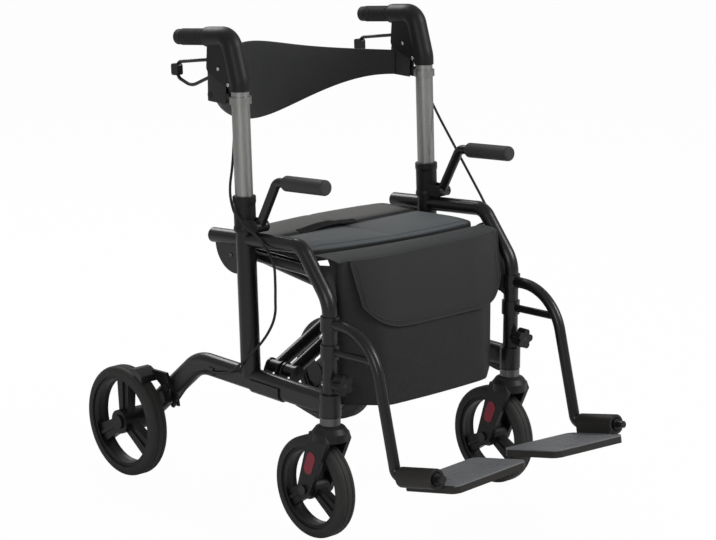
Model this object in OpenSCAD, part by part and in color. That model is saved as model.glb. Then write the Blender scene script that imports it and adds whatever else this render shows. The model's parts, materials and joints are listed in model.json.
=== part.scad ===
// Rollator transport chair: a wheeled walker whose seat, footrests and strap also make it a chair.
// Two side frames stand in upright planes and a cross brace under the seat folds them together.
// Millimetres. +Z is up, the chair faces -Y, and the passenger's left is +X.
// Lengths along Y are measured from the front leg's axis, heights from the floor.

/* [Frame] */
// Half the distance between the two side frames
frame_half_w = 213; // [208:1:240]
// Diameter of the front leg and the seat bar, one bent tube
leg_d = 26; // [24:0.5:28]
// Height of the leg's lower end
leg_foot_z = 212; // [210:1:218]
// Height where the leg starts to lean back
leg_corner_z = 415; // [412:1:425]
// Lean of the upper leg from the upright, in degrees
leg_lean = 40; // [34:1:44]
// Height of the seat bar at the post
bar_z = 486; // [482:1:492]
// Rise of the seat bar towards the front, in degrees
bar_slope = 5; // [2:0.5:6]
// Length of the seat bar behind the post
bar_tail = 87; // [80:1:110]
// Height of the lower rail's section
rail_h = 40; // [36:1:44]
// Width of the lower rail's section
rail_w = 25; // [22:1:28]
// Height of the lower rail's axis
rail_z = 241; // [238:1:246]
// Fall of the rail's rear end, in degrees
rail_drop = 40; // [36:1:44]

/* [Posts and handles] */
// Place of the post's axis at the rail
post_y = 205.5; // [202:0.5:215]
// Lean of the post, in degrees
post_lean = 2.4; // [0:0.1:4]
// Diameter of the sliding handle tube
tube_d = 31; // [29:0.5:32]
// Wall of the handle tube
tube_wall = 1.8; // [1.2:0.1:3]
// Wall of the post
post_wall = 1.7; // [1.4:0.1:2.2]
// Height of the collar's top above the rail, along the post
collar_top = 320; // [310:1:330]
// Height of the handle's housing above the rail, along the post
handle_h = 499; // [480:1:520]
// Length of the handle tube inside the collar and the post
tube_inside = 200; // [170:1:220]
// Diameter of the handle's neck
neck_d = 35; // [34:0.5:40]
// Diameter of the hand grip
grip_d = 27; // [25:0.5:31]
// Length of the hand grip
grip_l = 84; // [80:1:110]
// Fall of the grip towards its end, in degrees
grip_drop = 3.7; // [0:0.1:6]

/* [Wheels] */
// Diameter of the rear wheels
rear_d = 203; // [195:1:210]
// Width of the rear tyres
rear_w = 34; // [28:1:38]
// Distance of the rear wheel's middle outside the side frame
rear_out = 40; // [38:1:50]
// Distance from the front leg to the rear axle
wheelbase = 513; // [505:1:540]
// Diameter of the front wheels
front_d = 177; // [170:1:180]
// Width of the front tyres
front_w = 32; // [26:1:34]
// Trail of the front wheels behind their swivel axis
trail = 38; // [32:1:42]
// Spokes in each wheel
spokes = 3; // [3:1:6]

/* [Brakes] */
// Diameter of the brake lever's wire
lever_wire_d = 6; // [5:0.5:7]
// Diameter of the lever's pivot pin
lever_pin_d = 6; // [5:0.5:7]
// Gap between the brake shoe and the tyre
shoe_gap = 3.7; // [3.5:0.1:6]
// Diameter of the brake cable
cable_d = 4.6; // [4:0.1:5]

/* [Cross brace] */
// Distance of the brace's lower pivots inside the side frame
brace_inset = 33; // [32:1:37]
// Height of the lower pivots
brace_low_z = 262; // [258:1:266]
// Height of the seat tubes
brace_high_z = 450; // [446:1:452]
// Diameter of the brace's tubes
brace_d = 22; // [20:0.5:23]
// Half the distance between the legs of the wide brace
brace_wide = 50; // [48:1:52]
// Half the distance between the legs of the narrow brace
brace_narrow = 20; // [19:0.5:20.5]
// Diameter of the brace's pivot pins
brace_pin_d = 10; // [8:1:12]

/* [Seat] */
// Front edge of the seat pads
seat_front = 58; // [54:1:64]
// Rear edge of the seat pads
seat_back = 305; // [296:1:312]
// Thickness of the seat pads at their edges
seat_edge_t = 18; // [14:1:22]
// Crown of the seat pads above their edges
seat_crown = 9; // [4:1:14]

/* [Bag] */
// Height of the bag's lower edge at the front
bag_low_z = 229; // [215:1:240]
// Distance of the bag's sides inside the side frames
bag_inset = 33; // [29:1:48]
// Narrowing of the bag on each side towards its flat front
bag_taper = 62; // [50:1:80]
// Bulge of the bag's lower edge in front of its upper edge
bag_lean = 35; // [20:1:45]
// Height of the flap's lower edge
flap_low_z = 357; // [340:1:370]
// Thickness of the bag's cloth
cloth_t = 3; // [2:0.5:4]

/* [Backrest] */
// Thickness of the back strap at its ends
strap_t = 8; // [6:0.5:12]
// Height of the back strap at its ends
strap_end_h = 44; // [40:1:60]
// Height of the back strap in its middle
strap_mid_h = 140; // [110:1:145]
// Depth of the back strap's sweep behind its ends
strap_sweep = 122; // [100:1:140]

/* [Armrest] */
// Diameter of the armrest's tube
arm_d = 16.5; // [14:0.5:18]
// Diameter of the armrest's pad
arm_pad_d = 26.5; // [22:0.5:28]
// Distance of the armrest's pivot in front of the post
arm_pivot_gap = 38; // [36:1:42]
// Height of the armrest's pivot
arm_pivot_z = 514; // [513:1:520]
// Height of the armrest's elbow above its pivot
arm_rise = 83; // [78:1:90]
// Reach of the elbow in front of the pivot
arm_reach = 45; // [40:1:52]
// Length of the armrest from the elbow to its tip
arm_l = 126; // [115:1:140]

/* [Footrest] */
// Diameter of the footrest hanger's tube
hanger_d = 19; // [17:0.5:21]
// Height of the hanger's upper run
hanger_z = 381; // [378:1:382]
// Reach of the hanger's corner in front of the leg
hanger_reach = 102; // [98:1:110]
// Slant of the hanger's long run from the upright, in degrees
hanger_slant = 14.75; // [12:0.05:16]
// Height of the footplate's hinge at the hanger's lower corner
hinge_z = 156; // [150:1:160]
// Rise of the footplate's hinge towards the toes, in degrees
toe_up = 12; // [8:0.5:14]
// Length of the footplate's hinge barrel
barrel_l = 80; // [70:1:84]
// Diameter of the footplate's hinge barrel
barrel_d = 34; // [32:0.5:38]
// Width of the footplate
plate_w = 166; // [150:1:170]
// Depth of the footplate
plate_l = 128; // [116:1:132]
// Thickness of the footplate's deck
plate_t = 5; // [4:0.5:8]
// Height of the lock knob
knob_z = 281; // [278:1:290]
// Diameter of the lock knob
knob_d = 36; // [32:1:38]

/* [Hidden] */
SIDES = [["r", -1], ["l", 1]];
$fn = 64;

// Clearances: radial running fit, gap between neighbours that don't move, gap beside a moving face
run_fit = 0.05;
seat_gap = 0.3;
side_gap = 0.5;
// Overshoot of a cut past the face that it opens
over = 1;
// A bend is this much thicker than the straights, which run this far into it
bend_swell = 0.05;
bend_lap = 0.3;

// Colours of the materials
black = [0.09, 0.09, 0.10];
charcoal = [0.16, 0.16, 0.17];
silver = [0.72, 0.72, 0.71];
rubber = [0.12, 0.12, 0.12];
slate = [0.24, 0.26, 0.28];
red = [0.60, 0.13, 0.20];
grey = [0.30, 0.30, 0.31];

// Front leg and seat bar
leg_bend_r = 60;
bar_bend_r = 30;
post_d = tube_d + 2 * run_fit + 2 * post_wall;
bar_y = post_y + (bar_z - rail_z) * tan(post_lean);
// Distance along the leaning leg from its corner to the seat bar's line
lean_run = (bar_z + bar_y * tan(bar_slope) - leg_corner_z) / (cos(leg_lean) + sin(leg_lean) * tan(bar_slope));
bar_corner = [lean_run * sin(leg_lean), leg_corner_z + lean_run * cos(leg_lean)];
bar_back = [bar_y + bar_tail, bar_z - bar_tail * tan(bar_slope)];
leg_path = [[0, leg_foot_z], [0, leg_corner_z], bar_corner, bar_back];
leg_bends = [leg_bend_r, bar_bend_r];
plug_t = 6;
stud_d = 8;
stud_boss_d = 20;
stud_boss_l = 7;

// Lower rail
rear_r = rear_d / 2;
rail_bend_r = 80;
rail_corner = [wheelbase - (rail_z - rear_r) / tan(rail_drop), rail_z];
rail_path = [[0, rail_z], rail_corner, [wheelbase, rear_r]];
clamp_d = leg_d + 11;
clamp_h = rail_h - 2;
gusset_t = 12;
gusset_l = 64;
gusset_drop = 9;
saddle_t = 3;
saddle_margin = 2;
ear_t = 4;
ear_r = brace_pin_d / 2 + 8;
axle_boss_d = 42;
axle_d = 12;
axle_cap_d = 26;
axle_cap_t = 4;
hub_w = 38;
clip_w = 14;
clip_y = wheelbase - 213;
clip_z = 235;
clip_x = 17;

// Post, its foot on the rail, the collar and the handle tube, in the post's own leaning frame
post_foot = 4;
post_floor = 70;
collar_wall = 2.8;
collar_d = post_d + 2 * collar_wall;
collar_lip = 5;
collar_low = (bar_z - rail_z) + leg_d / 2 + 2;
tail_gusset_r = 52;
tail_gusset_t = 8;
tail_gusset_y = 26;
tube_foot = collar_top - tube_inside;

// Armrest
arm_pivot = [bar_y - arm_pivot_gap, arm_pivot_z];
arm_pin_d = 8;
arm_boss_d = 20;
arm_boss_w = arm_d + 1.5;
arm_ear_t = 4;
arm_elbow = [arm_pivot[0] - arm_reach, arm_pivot_z + arm_rise];
arm_tip_rise = 10;
arm_tip = [arm_elbow[0] - arm_l, arm_elbow[1] + arm_tip_rise];
arm_bend_r = 18;
arm_pad_start = 22;

// Handle, in the post's own frame: [y from the tube's axis, height above the rail]
neck_low = [0, handle_h - 1];
neck_socket = 6;
neck_socket_top = neck_low[1] + neck_socket;
neck_bend = [0, handle_h + 14];
neck_back = 21;
neck_rise = 89;
neck_run = 56;
neck_top = [neck_back, handle_h + neck_rise];
grip_root = neck_top + neck_run * [cos(grip_drop), -sin(grip_drop)];
neck_bend_r = 44;
neck_top_r = 24;
grip_core_d = 18;
grip_ribs = 9;
grip_rib_h = 0.9;
grip_flange_d = grip_d + 7;
grip_flange_t = 5;
lever_pivot = [62, handle_h + 36];
lever_boss_d = 22;
lever_t = 7;
cheek_t = 8;
block_w = lever_t + 2 * side_gap + 2 * cheek_t;
lever_l = 107;
lever_rear = lever_pivot[0] + lever_l;
lever_top = lever_pivot[1] + 12;
lever_low = lever_pivot[1] - 14;
dip_place = 0.65;
dip_depth = 39;
lever_dip = [lever_pivot[0] + dip_place * lever_l, lever_pivot[1] - dip_depth];
lever_room = 4;
lever_path = [
    [lever_pivot[0] + 4, lever_top],
    [lever_rear, lever_pivot[1]],
    [lever_rear, lever_pivot[1] - 27],
    lever_dip,
    [lever_pivot[0] + 4, lever_low]
];
lever_bends = [12, 12, 40];
bead_w = 12;
bead_l = 18;
bead_h = 20;
band_h = 12;
band_wall = 3.2;
band_low = handle_h - 22;
bracket_t = 6;
bracket_h = 18;
bracket_reach = 84;
bolt_d = 12;
bolt_t = 3;

// Rear brake
brake_pivot_y = wheelbase - 92;
brake_pivot = [brake_pivot_y, rail_z - (brake_pivot_y - rail_corner[0]) * tan(rail_drop)];
brake_pin_d = 8;
brake_boss_d = 22;
brake_x = rail_w / 2 + 3;
brake_arm_t = 6;
shoe_y = wheelbase - 47;
shoe_w = 26;
shoe_l = 30;
shoe_h = 10;
brake_head = 15;
adjuster_z = 152;
adjuster = [wheelbase - 108, adjuster_z];
adjuster_d = 9;
adjuster_l = 14;
adjuster_x = 14;

// Wheels
tyre_h = 17;
front_r = front_d / 2;
rim_lip = 3;
rim_t = 7;
rear_hub_d = 44;
front_hub_d = 38;
front_hub_w = 34;
front_axle_d = 8;
tread_grooves = 2;
groove_w = 1.6;
groove_d = 1;

// Casters
stem_d = 12;
stem_l = 30;
cup_d = leg_d + 9;
cup_h = 13;
crown_r = 31;
crown_top = leg_foot_z - 5;
crown_gap = 4;
crown_low = front_d + crown_gap;
fork_in = front_w / 2 + 3;
fork_t = 8;
fork_boss_r = 16;
fork_top_w = 46;
inlay_w = 20;
inlay_l = 42;
inlay_depth = 2;
inlay_stand = 0.6;
inlay_place = 0.5;

// Footrest hanger and hinge
sleeve_wall = 3;
sleeve_d = leg_d + 2 * run_fit + 2 * sleeve_wall;
sleeve_h = 24;
strut_d = 13;
strut_z = 333;
strut_rise = 4;
hanger_bend_r = 90;
hinge_bend_r = 14;
hanger_foot = [-hanger_reach - (hanger_z - hinge_z) * tan(hanger_slant), hinge_z];
barrel_start = 16;
peg_d = 12;
peg_l = 14;
axle_tail = 3;
hinge_end = barrel_start + barrel_l + axle_tail;
bush_wall = 3;
bush_d = hanger_d + 2 * run_fit + 2 * bush_wall;
bush_l = barrel_l - 4;
bush_start = barrel_start + 1.5;
hanger_path = [
    [0, hanger_z], [-hanger_reach, hanger_z], hanger_foot,
    hanger_foot + hinge_end * [-cos(toe_up), sin(toe_up)]
];
deck_in = barrel_d / 2 - 4;
deck_drop = 14;
deck_start = -4;
deck_web = 0.8;
deck_roll = 2.5;
deck_rim_h = 13;
deck_rim_t = 4;
deck_ribs = 4;
deck_corner_r = 14;
deck_grooves = 6;
deck_groove_w = 4;
deck_groove_d = 1.2;
front_reach = -hanger_foot[0] + (plate_l + deck_start) * cos(toe_up) + (deck_drop + deck_rim_h) * sin(toe_up);

// Lock knob
knob_t = 18;
knob_lobes = 5;
knob_lobe_d = 13;
knob_core_d = 25;
knob_start = leg_d / 2 + stud_boss_l;

// Cross brace; the wide half's rear leg stands beside the post's foot
brace_half = frame_half_w - brace_inset;
brace_y = post_y - brace_wide;
brace_span = norm([2 * brace_half, brace_high_z - brace_low_z]);
brace_angle = atan2(brace_high_z - brace_low_z, 2 * brace_half);
brace_eye_d = brace_pin_d + 13;
brace_eye_w = brace_d + 2;
ear_place = brace_eye_w / 2 + side_gap + ear_t / 2;
seat_tube_front = seat_front + 8;
seat_tube_back = seat_back - 24;
pin_head_d = 16;
pin_head_t = 4;

// Seat pads
seat_base_z = brace_high_z + brace_d / 2 + seat_gap;
seat_half_w = brace_half + brace_d / 2;
seat_top_z = seat_base_z + seat_edge_t;
seat_tuck = 4;
pad_steps = 14;
seam_y = 212;
seam_half_l = 9;
seam_dip = 3;

// Bag under the seat's front edge
bag_back_half = frame_half_w - bag_inset;
bag_front_half = bag_back_half - bag_taper;
bag_top_z = seat_base_z + seat_edge_t;
bag_front_y = -2;
bag_chamfer = 15;
bag_back_y = 44;
bag_back_rise = 20;
hem_t = seat_edge_t - 6;
hem_drop = 4;
hem_back = seat_front + seat_tuck * hem_drop / seat_edge_t - seat_gap;
mouth_low = 400;
mouth_high = 466;
mouth_half = bag_front_half - 14;
flap_gap = 0.4;
flap_shoulder_z = 378;
flap_corner_r = 22;
flap_top_z = bag_top_z - 2;

// Back strap, its ends on the brackets
strap_x_end = frame_half_w - bracket_t / 2 - seat_gap;
strap_steps = 24;
strap_rows = 8;
strap_crown = 4;
strap_end_run = bracket_reach - 12;
strap_rise = 11.5;
strap_base = [
    post_y + strap_end_run * cos(post_lean) + (band_low + bracket_h / 2) * sin(post_lean),
    rail_z + (band_low + bracket_h / 2) * cos(post_lean) - strap_end_run * sin(post_lean) + strap_rise
];
strap_top_rise = 27;
strap_low_drop = strap_mid_h - strap_end_h - strap_top_rise;

// The whole part is moved so that the origin lies under the middle of its outline
y_shift = (front_reach - wheelbase - rear_r) / 2;

// Brake cables: [outward from the side frame, y, z], from the handle to the brake's adjuster
// The upper run keeps its share of the height between its lower end and the handle tube's top
tube_top_z = rail_z + handle_h;
free_low_l = 490;
free_low_r = 514;
function free_z(low, part) = low + part * (tube_top_z - low);
cable_rear = [
    [23, post_y + 12, 262], [20, wheelbase - 263, 244], [17, wheelbase - 213, 233],
    [17, wheelbase - 177, 222], [16, wheelbase - 145, 190],
    [adjuster_x, wheelbase - 121, adjuster_z + 13], [adjuster_x, wheelbase - 113, adjuster_z + 5]
];
cable_run_l = concat([
    [14.5, 242, free_z(free_low_l, 0.944)], [15, 240, free_z(free_low_l, 0.84)],
    [17, 233, free_z(free_low_l, 0.76)], [19, 222, free_z(free_low_l, 0.696)],
    [19, 203, free_z(free_low_l, 0.6)], [19, 168, free_z(free_low_l, 0.436)],
    [19, 140, free_z(free_low_l, 0.304)], [19, 113.6, free_z(free_low_l, 0.18)],
    [18, 93, free_z(free_low_l, 0.088)], [17, 76, free_low_l], [17, 78, 472], [17, 100, 461], [16, 124, 442], [16, 132, 410],
    [16, 134, 376], [17, 142, 350], [20, 164, 316], [23, 194, 283]
], cable_rear);
cable_run_r = concat([
    [-8, 246, free_z(free_low_r, 0.93)], [-3, 244.8, free_z(free_low_r, 0.8)],
    [2, 243.2, free_z(free_low_r, 0.56)], [7, 242, free_z(free_low_r, 0.4)],
    [14, 238.5, free_z(free_low_r, 0.295)], [19.5, 232, free_z(free_low_r, 0.21)],
    [23, 222, free_z(free_low_r, 0.13)], [23.5, 213, free_z(free_low_r, 0.08)],
    [20, 190, free_low_r], [17, 163, 499], [16, 138, 480], [16, 123, 458], [16, 120, 430],
    [16, 120, 400], [16, 121, 376], [17, 131, 350], [19, 155, 318], [23, 190, 284]
], cable_rear);
cable_sides = 8;
cable_rings = 38;

// A child drawn for the left side frame, in its plane, is put on side s: 1 is left, -1 right
module side(s) {
    translate([0, y_shift, 0])
        mirror([s < 0 ? 1 : 0, 0, 0])
            translate([frame_half_w, 0, 0])
                children();
}

// A child drawn about the chair's middle plane
module middle() {
    translate([0, y_shift, 0])
        children();
}

// The post's own frame: Z along the leaning post, from the rail's axis
module on_post() {
    translate([0, post_y, rail_z])
        rotate([-post_lean, 0, 0])
            children();
}

// The footplate's hinge frame: Y along the hinge towards the heels, from the hanger's corner
module on_hinge() {
    translate([0, hanger_foot[0], hanger_foot[1]])
        rotate([-toe_up, 0, 0])
            children();
}

// A round pin along X
module pin_x(at, d, x_from, x_to) {
    translate([x_from, at[0], at[1]])
        rotate([0, 90, 0])
            cylinder(h = x_to - x_from, d = d);
}

// A round pin along Y
module pin_y(at, d, y_from, y_to) {
    translate([at[0], y_from, at[1]])
        rotate([-90, 0, 0])
            cylinder(h = y_to - y_from, d = d);
}

// A flat outline in the Y-Z plane, made thick along X
module plate_x(x_from, x_to) {
    translate([x_from, 0, 0])
        rotate([90, 0, 90])
            linear_extrude(x_to - x_from)
                children();
}

// A flat outline in the X-Z plane, made thick along Y
module plate_y(y_from, y_to) {
    translate([0, y_to, 0])
        rotate([90, 0, 0])
            linear_extrude(y_to - y_from)
                children();
}

// Bent tube: a section swept along a flat path of corners, each with its bend radius
function heading(a, b) = atan2(b[1] - a[1], b[0] - a[0]);
function wrapped(a) = a > 180 ? a - 360 : a < -180 ? a + 360 : a;
function turn_at(p, i) = wrapped(heading(p[i], p[i + 1]) - heading(p[i - 1], p[i]));
function trim_at(p, r, i) = i == 0 || i == len(p) - 1 ? 0 : r[i - 1] * tan(abs(turn_at(p, i)) / 2);

module bent(path, radii) {
    last = len(path) - 1;
    rotate([90, 0, 90]) {
        for (i = [0 : last - 1]) {
            trim = trim_at(path, radii, i) - (i == 0 ? 0 : bend_lap);
            trim_end = trim_at(path, radii, i + 1) - (i == last - 1 ? 0 : bend_lap);
            translate(path[i])
                rotate(heading(path[i], path[i + 1]))
                    translate([trim, 0, 0])
                        rotate([90, 0, 90])
                            linear_extrude(norm(path[i + 1] - path[i]) - trim - trim_end)
                                let ($grow = 0)
                                    children();
        }
        for (i = [1 : 1 : last - 1]) {
            turn = turn_at(path, i);
            h = heading(path[i - 1], path[i]);
            start = path[i] - trim_at(path, radii, i) * [cos(h), sin(h)];
            centre = start + sign(turn) * radii[i - 1] * [-sin(h), cos(h)];
            translate(centre)
                rotate(turn > 0 ? h - 90 : h + 90 + turn)
                    rotate_extrude(angle = abs(turn))
                        translate([radii[i - 1], 0])
                            let ($grow = bend_swell)
                                children();
        }
    }
}

// Section of a round bent tube
module round_section(d) {
    circle(d = d + 2 * $grow);
}

// Section of a flat oval bent tube
module oval_section(h, w) {
    slot(h + 2 * $grow, w + 2 * $grow);
}

// Rounded upright slot outline: total height h, width w, along the first axis
module slot(h, w) {
    square([h - w, w], center = true);
    translate([(h - w) / 2, 0])
        circle(d = w);
    translate([-(h - w) / 2, 0])
        circle(d = w);
}

// Rectangle with round corners, centred
module rounded(l, w, r) {
    square([l - 2 * r, w], center = true);
    square([l, w - 2 * r], center = true);
    for (i = [-1, 1], j = [-1, 1])
        translate([i * (l / 2 - r), j * (w / 2 - r)])
            circle(r);
}

// Front leg: a tube that stands up from the caster, leans back and runs on as the seat bar to the post
module front_leg(s) {
    color(black) side(s) {
        difference() {
            bent(leg_path, leg_bends)
                round_section(d = leg_d);
            on_post()
                translate([0, 0, -over])
                    cylinder(h = collar_top, d = post_d);
            translate([-leg_d, bar_y, bar_back[1] - leg_d])
                cube([2 * leg_d, bar_tail + leg_d, bar_z]);
        }
        pin_y([0, knob_z], stud_boss_d, -leg_d / 2 - stud_boss_l + side_gap, 0);
        pin_y([0, knob_z], stud_d, -knob_start - knob_t, 0);
    }
}

// Post: a tube with a notched foot on the rail, the bar's tail and its quarter-round gusset behind
module handle_post(s) {
    color(black) side(s) difference() {
        union() {
            on_post()
                translate([0, 0, post_foot])
                    cylinder(h = collar_top - collar_lip - post_foot, d = post_d);
            intersection() {
                bent([[bar_y, bar_z], bar_back], [])
                    round_section(d = leg_d);
                translate([-leg_d, bar_y, 0])
                    cube([2 * leg_d, bar_tail + leg_d, 2 * bar_z]);
            }
            plate_x(-tail_gusset_t / 2, tail_gusset_t / 2)
                tail_gusset();
        }
        bent(rail_path, [rail_bend_r])
            oval_section(rail_h, rail_w);
        on_post()
            translate([0, 0, post_floor])
                cylinder(h = collar_top, d = tube_d + 2 * run_fit);
    }
}

// Quarter-round plate under the bar's tail
module tail_gusset() {
    centre = [bar_y + tail_gusset_y, bar_z - leg_d / 2];
    translate(centre)
        intersection() {
            circle(tail_gusset_r);
            translate([-tail_gusset_y, -tail_gusset_r])
                square([tail_gusset_y + tail_gusset_r, tail_gusset_r + leg_d / 4]);
        }
}

// Collar: a grooved plastic sleeve on the post's top, with the armrest's ears and pin in front
module post_collar(s) {
    ear_in = arm_boss_w / 2 + side_gap;
    color(charcoal) side(s) {
        difference() {
            union() {
                on_post()
                    translate([0, 0, collar_low])
                        rotate_extrude()
                            collar_profile();
                for (i = [-1, 1])
                    plate_x(i < 0 ? -ear_in - arm_ear_t : ear_in, i < 0 ? -ear_in : ear_in + arm_ear_t)
                        arm_ear();
            }
            on_post()
                cylinder(h = collar_top - collar_lip, d = post_d);
            on_post()
                cylinder(h = collar_top + over, d = tube_d + 2 * run_fit);
        }
        pin_x(arm_pivot, arm_pin_d, -ear_in - arm_ear_t / 2, ear_in + arm_ear_t / 2);
    }
}

// Half section of the collar, with a shallow waist and two rings
module collar_profile() {
    h = collar_top - collar_low;
    waist = 1.2;
    ring = 5;
    polygon([
        [tube_d / 2, 0], [collar_d / 2, 0], [collar_d / 2, ring],
        [collar_d / 2 - waist, 2 * ring], [collar_d / 2 - waist, h - 3 * ring],
        [collar_d / 2, h - 2 * ring], [collar_d / 2, h - waist],
        [collar_d / 2 - waist, h], [tube_d / 2, h]
    ]);
}

// Ear outline between the collar and the armrest's pivot
module arm_ear() {
    r = arm_boss_d / 2;
    translate(arm_pivot)
        circle(r);
    polygon([
        arm_pivot + [0, r], arm_pivot + [0, -r],
        [bar_y, arm_pivot_z - r], [bar_y, arm_pivot_z + r]
    ]);
}

// Lower rail: a flat oval tube that bends down to the axle, with its leg clamp, brace bracket and brake pivot
module lower_rail(s) {
    legs = s > 0 ? brace_wide : brace_narrow;
    color(black) side(s) {
        difference() {
            union() {
                bent(rail_path, [rail_bend_r])
                    oval_section(rail_h, rail_w);
                translate([0, 0, rail_z - clamp_h / 2])
                    cylinder(h = clamp_h, d = clamp_d);
                plate_x(-gusset_t / 2, gusset_t / 2)
                    rail_gusset();
            }
            translate([0, 0, leg_foot_z - rail_h])
                cylinder(h = 2 * rail_h + rail_z, d = leg_d);
            pin_x([wheelbase, rear_r], axle_boss_d, -rail_w, rail_w);
        }
        brace_bracket(legs);
        pin_x(brake_pivot, brake_boss_d, 0, brake_x - side_gap);
        pin_x(brake_pivot, brake_pin_d, 0, brake_x + brake_arm_t + 3);
        pin_x(brake_pivot, brake_boss_d - 6, brake_x + brake_arm_t + side_gap, brake_x + brake_arm_t + 3);
        cable_adjuster();
        cable_clip();
    }
}

// Web under the rail's front end
module rail_gusset() {
    low = rail_z - rail_h / 2;
    start = cup_d / 2 + side_gap;
    polygon([
        [start, low + over], [start + gusset_l, low + over],
        [start + gusset_drop, low - gusset_drop], [start, low - gusset_drop]
    ]);
}

// Saddle on the rail's inner side with two pairs of ears that carry the brace's legs
module brace_bracket(legs) {
    reach = legs + ear_place + ear_t / 2 + saddle_margin;
    pivot_x = brace_half - frame_half_w;
    plate_y(brace_y - reach, brace_y + reach)
        saddle();
    for (i = [-1, 1], j = [-1, 1])
        plate_y(
            brace_y + i * legs + j * ear_place - ear_t / 2,
            brace_y + i * legs + j * ear_place + ear_t / 2
        )
            brace_ear(pivot_x);
    for (i = [-1, 1])
        pin_y(
            [pivot_x, brace_low_z], brace_pin_d,
            brace_y + i * legs - ear_place - ear_t / 2 - over,
            brace_y + i * legs + ear_place + ear_t / 2 + over
        );
}

// Lower half of the rail's oval, grown by the saddle's wall
module saddle() {
    intersection() {
        translate([0, rail_z])
            rotate(90)
                slot(rail_h + 2 * saddle_t, rail_w + 2 * saddle_t);
        translate([-rail_h, rail_z - 2 * rail_h])
            square([2 * rail_h, 2 * rail_h + post_foot - 1]);
    }
}

// Ear outline from the rail's inner side to the brace's pivot
module brace_ear(pivot_x) {
    rail_face = -rail_w / 2;
    step = 6;
    translate([pivot_x, brace_low_z])
        circle(ear_r);
    polygon([
        [rail_face + step, rail_z - rail_h / 2 + step], [rail_face + step, rail_z + post_foot - 1],
        [rail_face, rail_z + post_foot - 1], [rail_face - step, brace_low_z],
        [pivot_x + ear_r * cos(60), brace_low_z + ear_r * sin(60)],
        [pivot_x + ear_r * cos(210), brace_low_z + ear_r * sin(210)]
    ]);
}

// Lug under the rail that ends the brake cable
module cable_adjuster() {
    lug_t = 4;
    lug = 16;
    along = 45;
    plate_x(adjuster_x - lug_t / 2 - adjuster_d / 2, adjuster_x - adjuster_d / 2 + lug_t / 2)
        polygon([
            adjuster + [-lug / 2, -lug / 4], adjuster + [lug / 2, -lug / 4],
            brake_pivot + [0, -lug / 2], brake_pivot + [-lug, lug / 2]
        ]);
    translate([adjuster_x, adjuster[0], adjuster[1]])
        rotate([along, 0, 0])
            translate([0, 0, -adjuster_l / 2])
                cylinder(h = adjuster_l, d = adjuster_d);
}

// Clip between the rail's outer face and the cable
module cable_clip() {
    translate([0, clip_y - clip_w / 2, clip_z - clip_w / 2])
        cube([clip_x - cable_d / 2 - seat_gap, clip_w, clip_w]);
}

// Rear axle: the boss in the rail's end, the spindle and its cap
module rear_axle(s) {
    boss_end = rear_out - hub_w / 2 - side_gap;
    cap_start = rear_out + hub_w / 2 + side_gap;
    color(charcoal) side(s) {
        pin_x([wheelbase, rear_r], axle_boss_d, -rail_w / 2 - 2, boss_end);
        pin_x([wheelbase, rear_r], axle_d, 0, cap_start + axle_cap_t);
        pin_x([wheelbase, rear_r], axle_cap_d, cap_start, cap_start + axle_cap_t);
    }
}

// Caster housing: a bearing cup under the leg with the stem that the fork turns on
module caster_housing(s) {
    color(silver) side(s) difference() {
        union() {
            translate([0, 0, crown_top + side_gap])
                cylinder(h = cup_h, d = cup_d);
            translate([0, 0, crown_top - stem_l])
                cylinder(h = stem_l + over, d = stem_d);
        }
        translate([0, 0, leg_foot_z])
            cylinder(h = cup_h + stem_l, d = leg_d);
    }
}

// Smooth run of a cable through its points, cut into even steps
function spline(p, t) =
    let (
        n = len(p) - 1,
        i = min(floor(t * n), n - 1),
        f = t * n - i,
        a = p[max(i - 1, 0)],
        b = p[i],
        c = p[i + 1],
        d = p[min(i + 2, n)]
    )
    b + f * (c - a) / 2 + f * f * (a - 2.5 * b + 2 * c - d / 2) + f * f * f * (1.5 * (b - c) + (d - a) / 2);

module cable(points) {
    mids = [for (k = [0 : cable_rings]) spline(points, k / cable_rings)];
    tangents = [
        for (k = [0 : cable_rings])
            let (v = mids[min(k + 1, cable_rings)] - mids[max(k - 1, 0)])
                v / norm(v)
    ];
    // The ring's first axis stays square to the tangent and close to the chair's width
    axis_u = [for (t = tangents) let (u = [1, 0, 0] - t[0] * t) u / norm(u)];
    axis_v = [for (k = [0 : cable_rings]) cross(tangents[k], axis_u[k])];
    rings = [
        for (k = [0 : cable_rings], j = [0 : cable_sides - 1])
            mids[k] + cable_d / 2 * (
                cos(j * 360 / cable_sides) * axis_u[k] + sin(j * 360 / cable_sides) * axis_v[k]
            )
    ];
    walls = [
        for (k = [0 : cable_rings - 1], j = [0 : cable_sides - 1])
            let (
                a = k * cable_sides + j,
                b = k * cable_sides + (j + 1) % cable_sides
            )
            each [[a, a + cable_sides, b], [b, a + cable_sides, b + cable_sides]]
    ];
    last = cable_rings * cable_sides;
    caps = [
        for (j = [1 : cable_sides - 2])
            each [[0, j, j + 1], [last, last + j + 1, last + j]]
    ];
    polyhedron(rings, concat(walls, caps));
}

// Brake cable from the handle to the adjuster by the rear wheel
module brake_cable(s) {
    color(rubber) side(s)
        cable(s > 0 ? cable_run_l : cable_run_r);
}

// Sliding handle tube
module handle_tube(s) {
    color(silver) side(s) on_post() difference() {
        translate([0, 0, tube_foot])
            cylinder(h = neck_socket_top - tube_foot, d = tube_d);
        translate([0, 0, tube_foot - over])
            cylinder(h = neck_socket_top - tube_foot - tube_wall + over, d = tube_d - 2 * tube_wall);
    }
}

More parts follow.
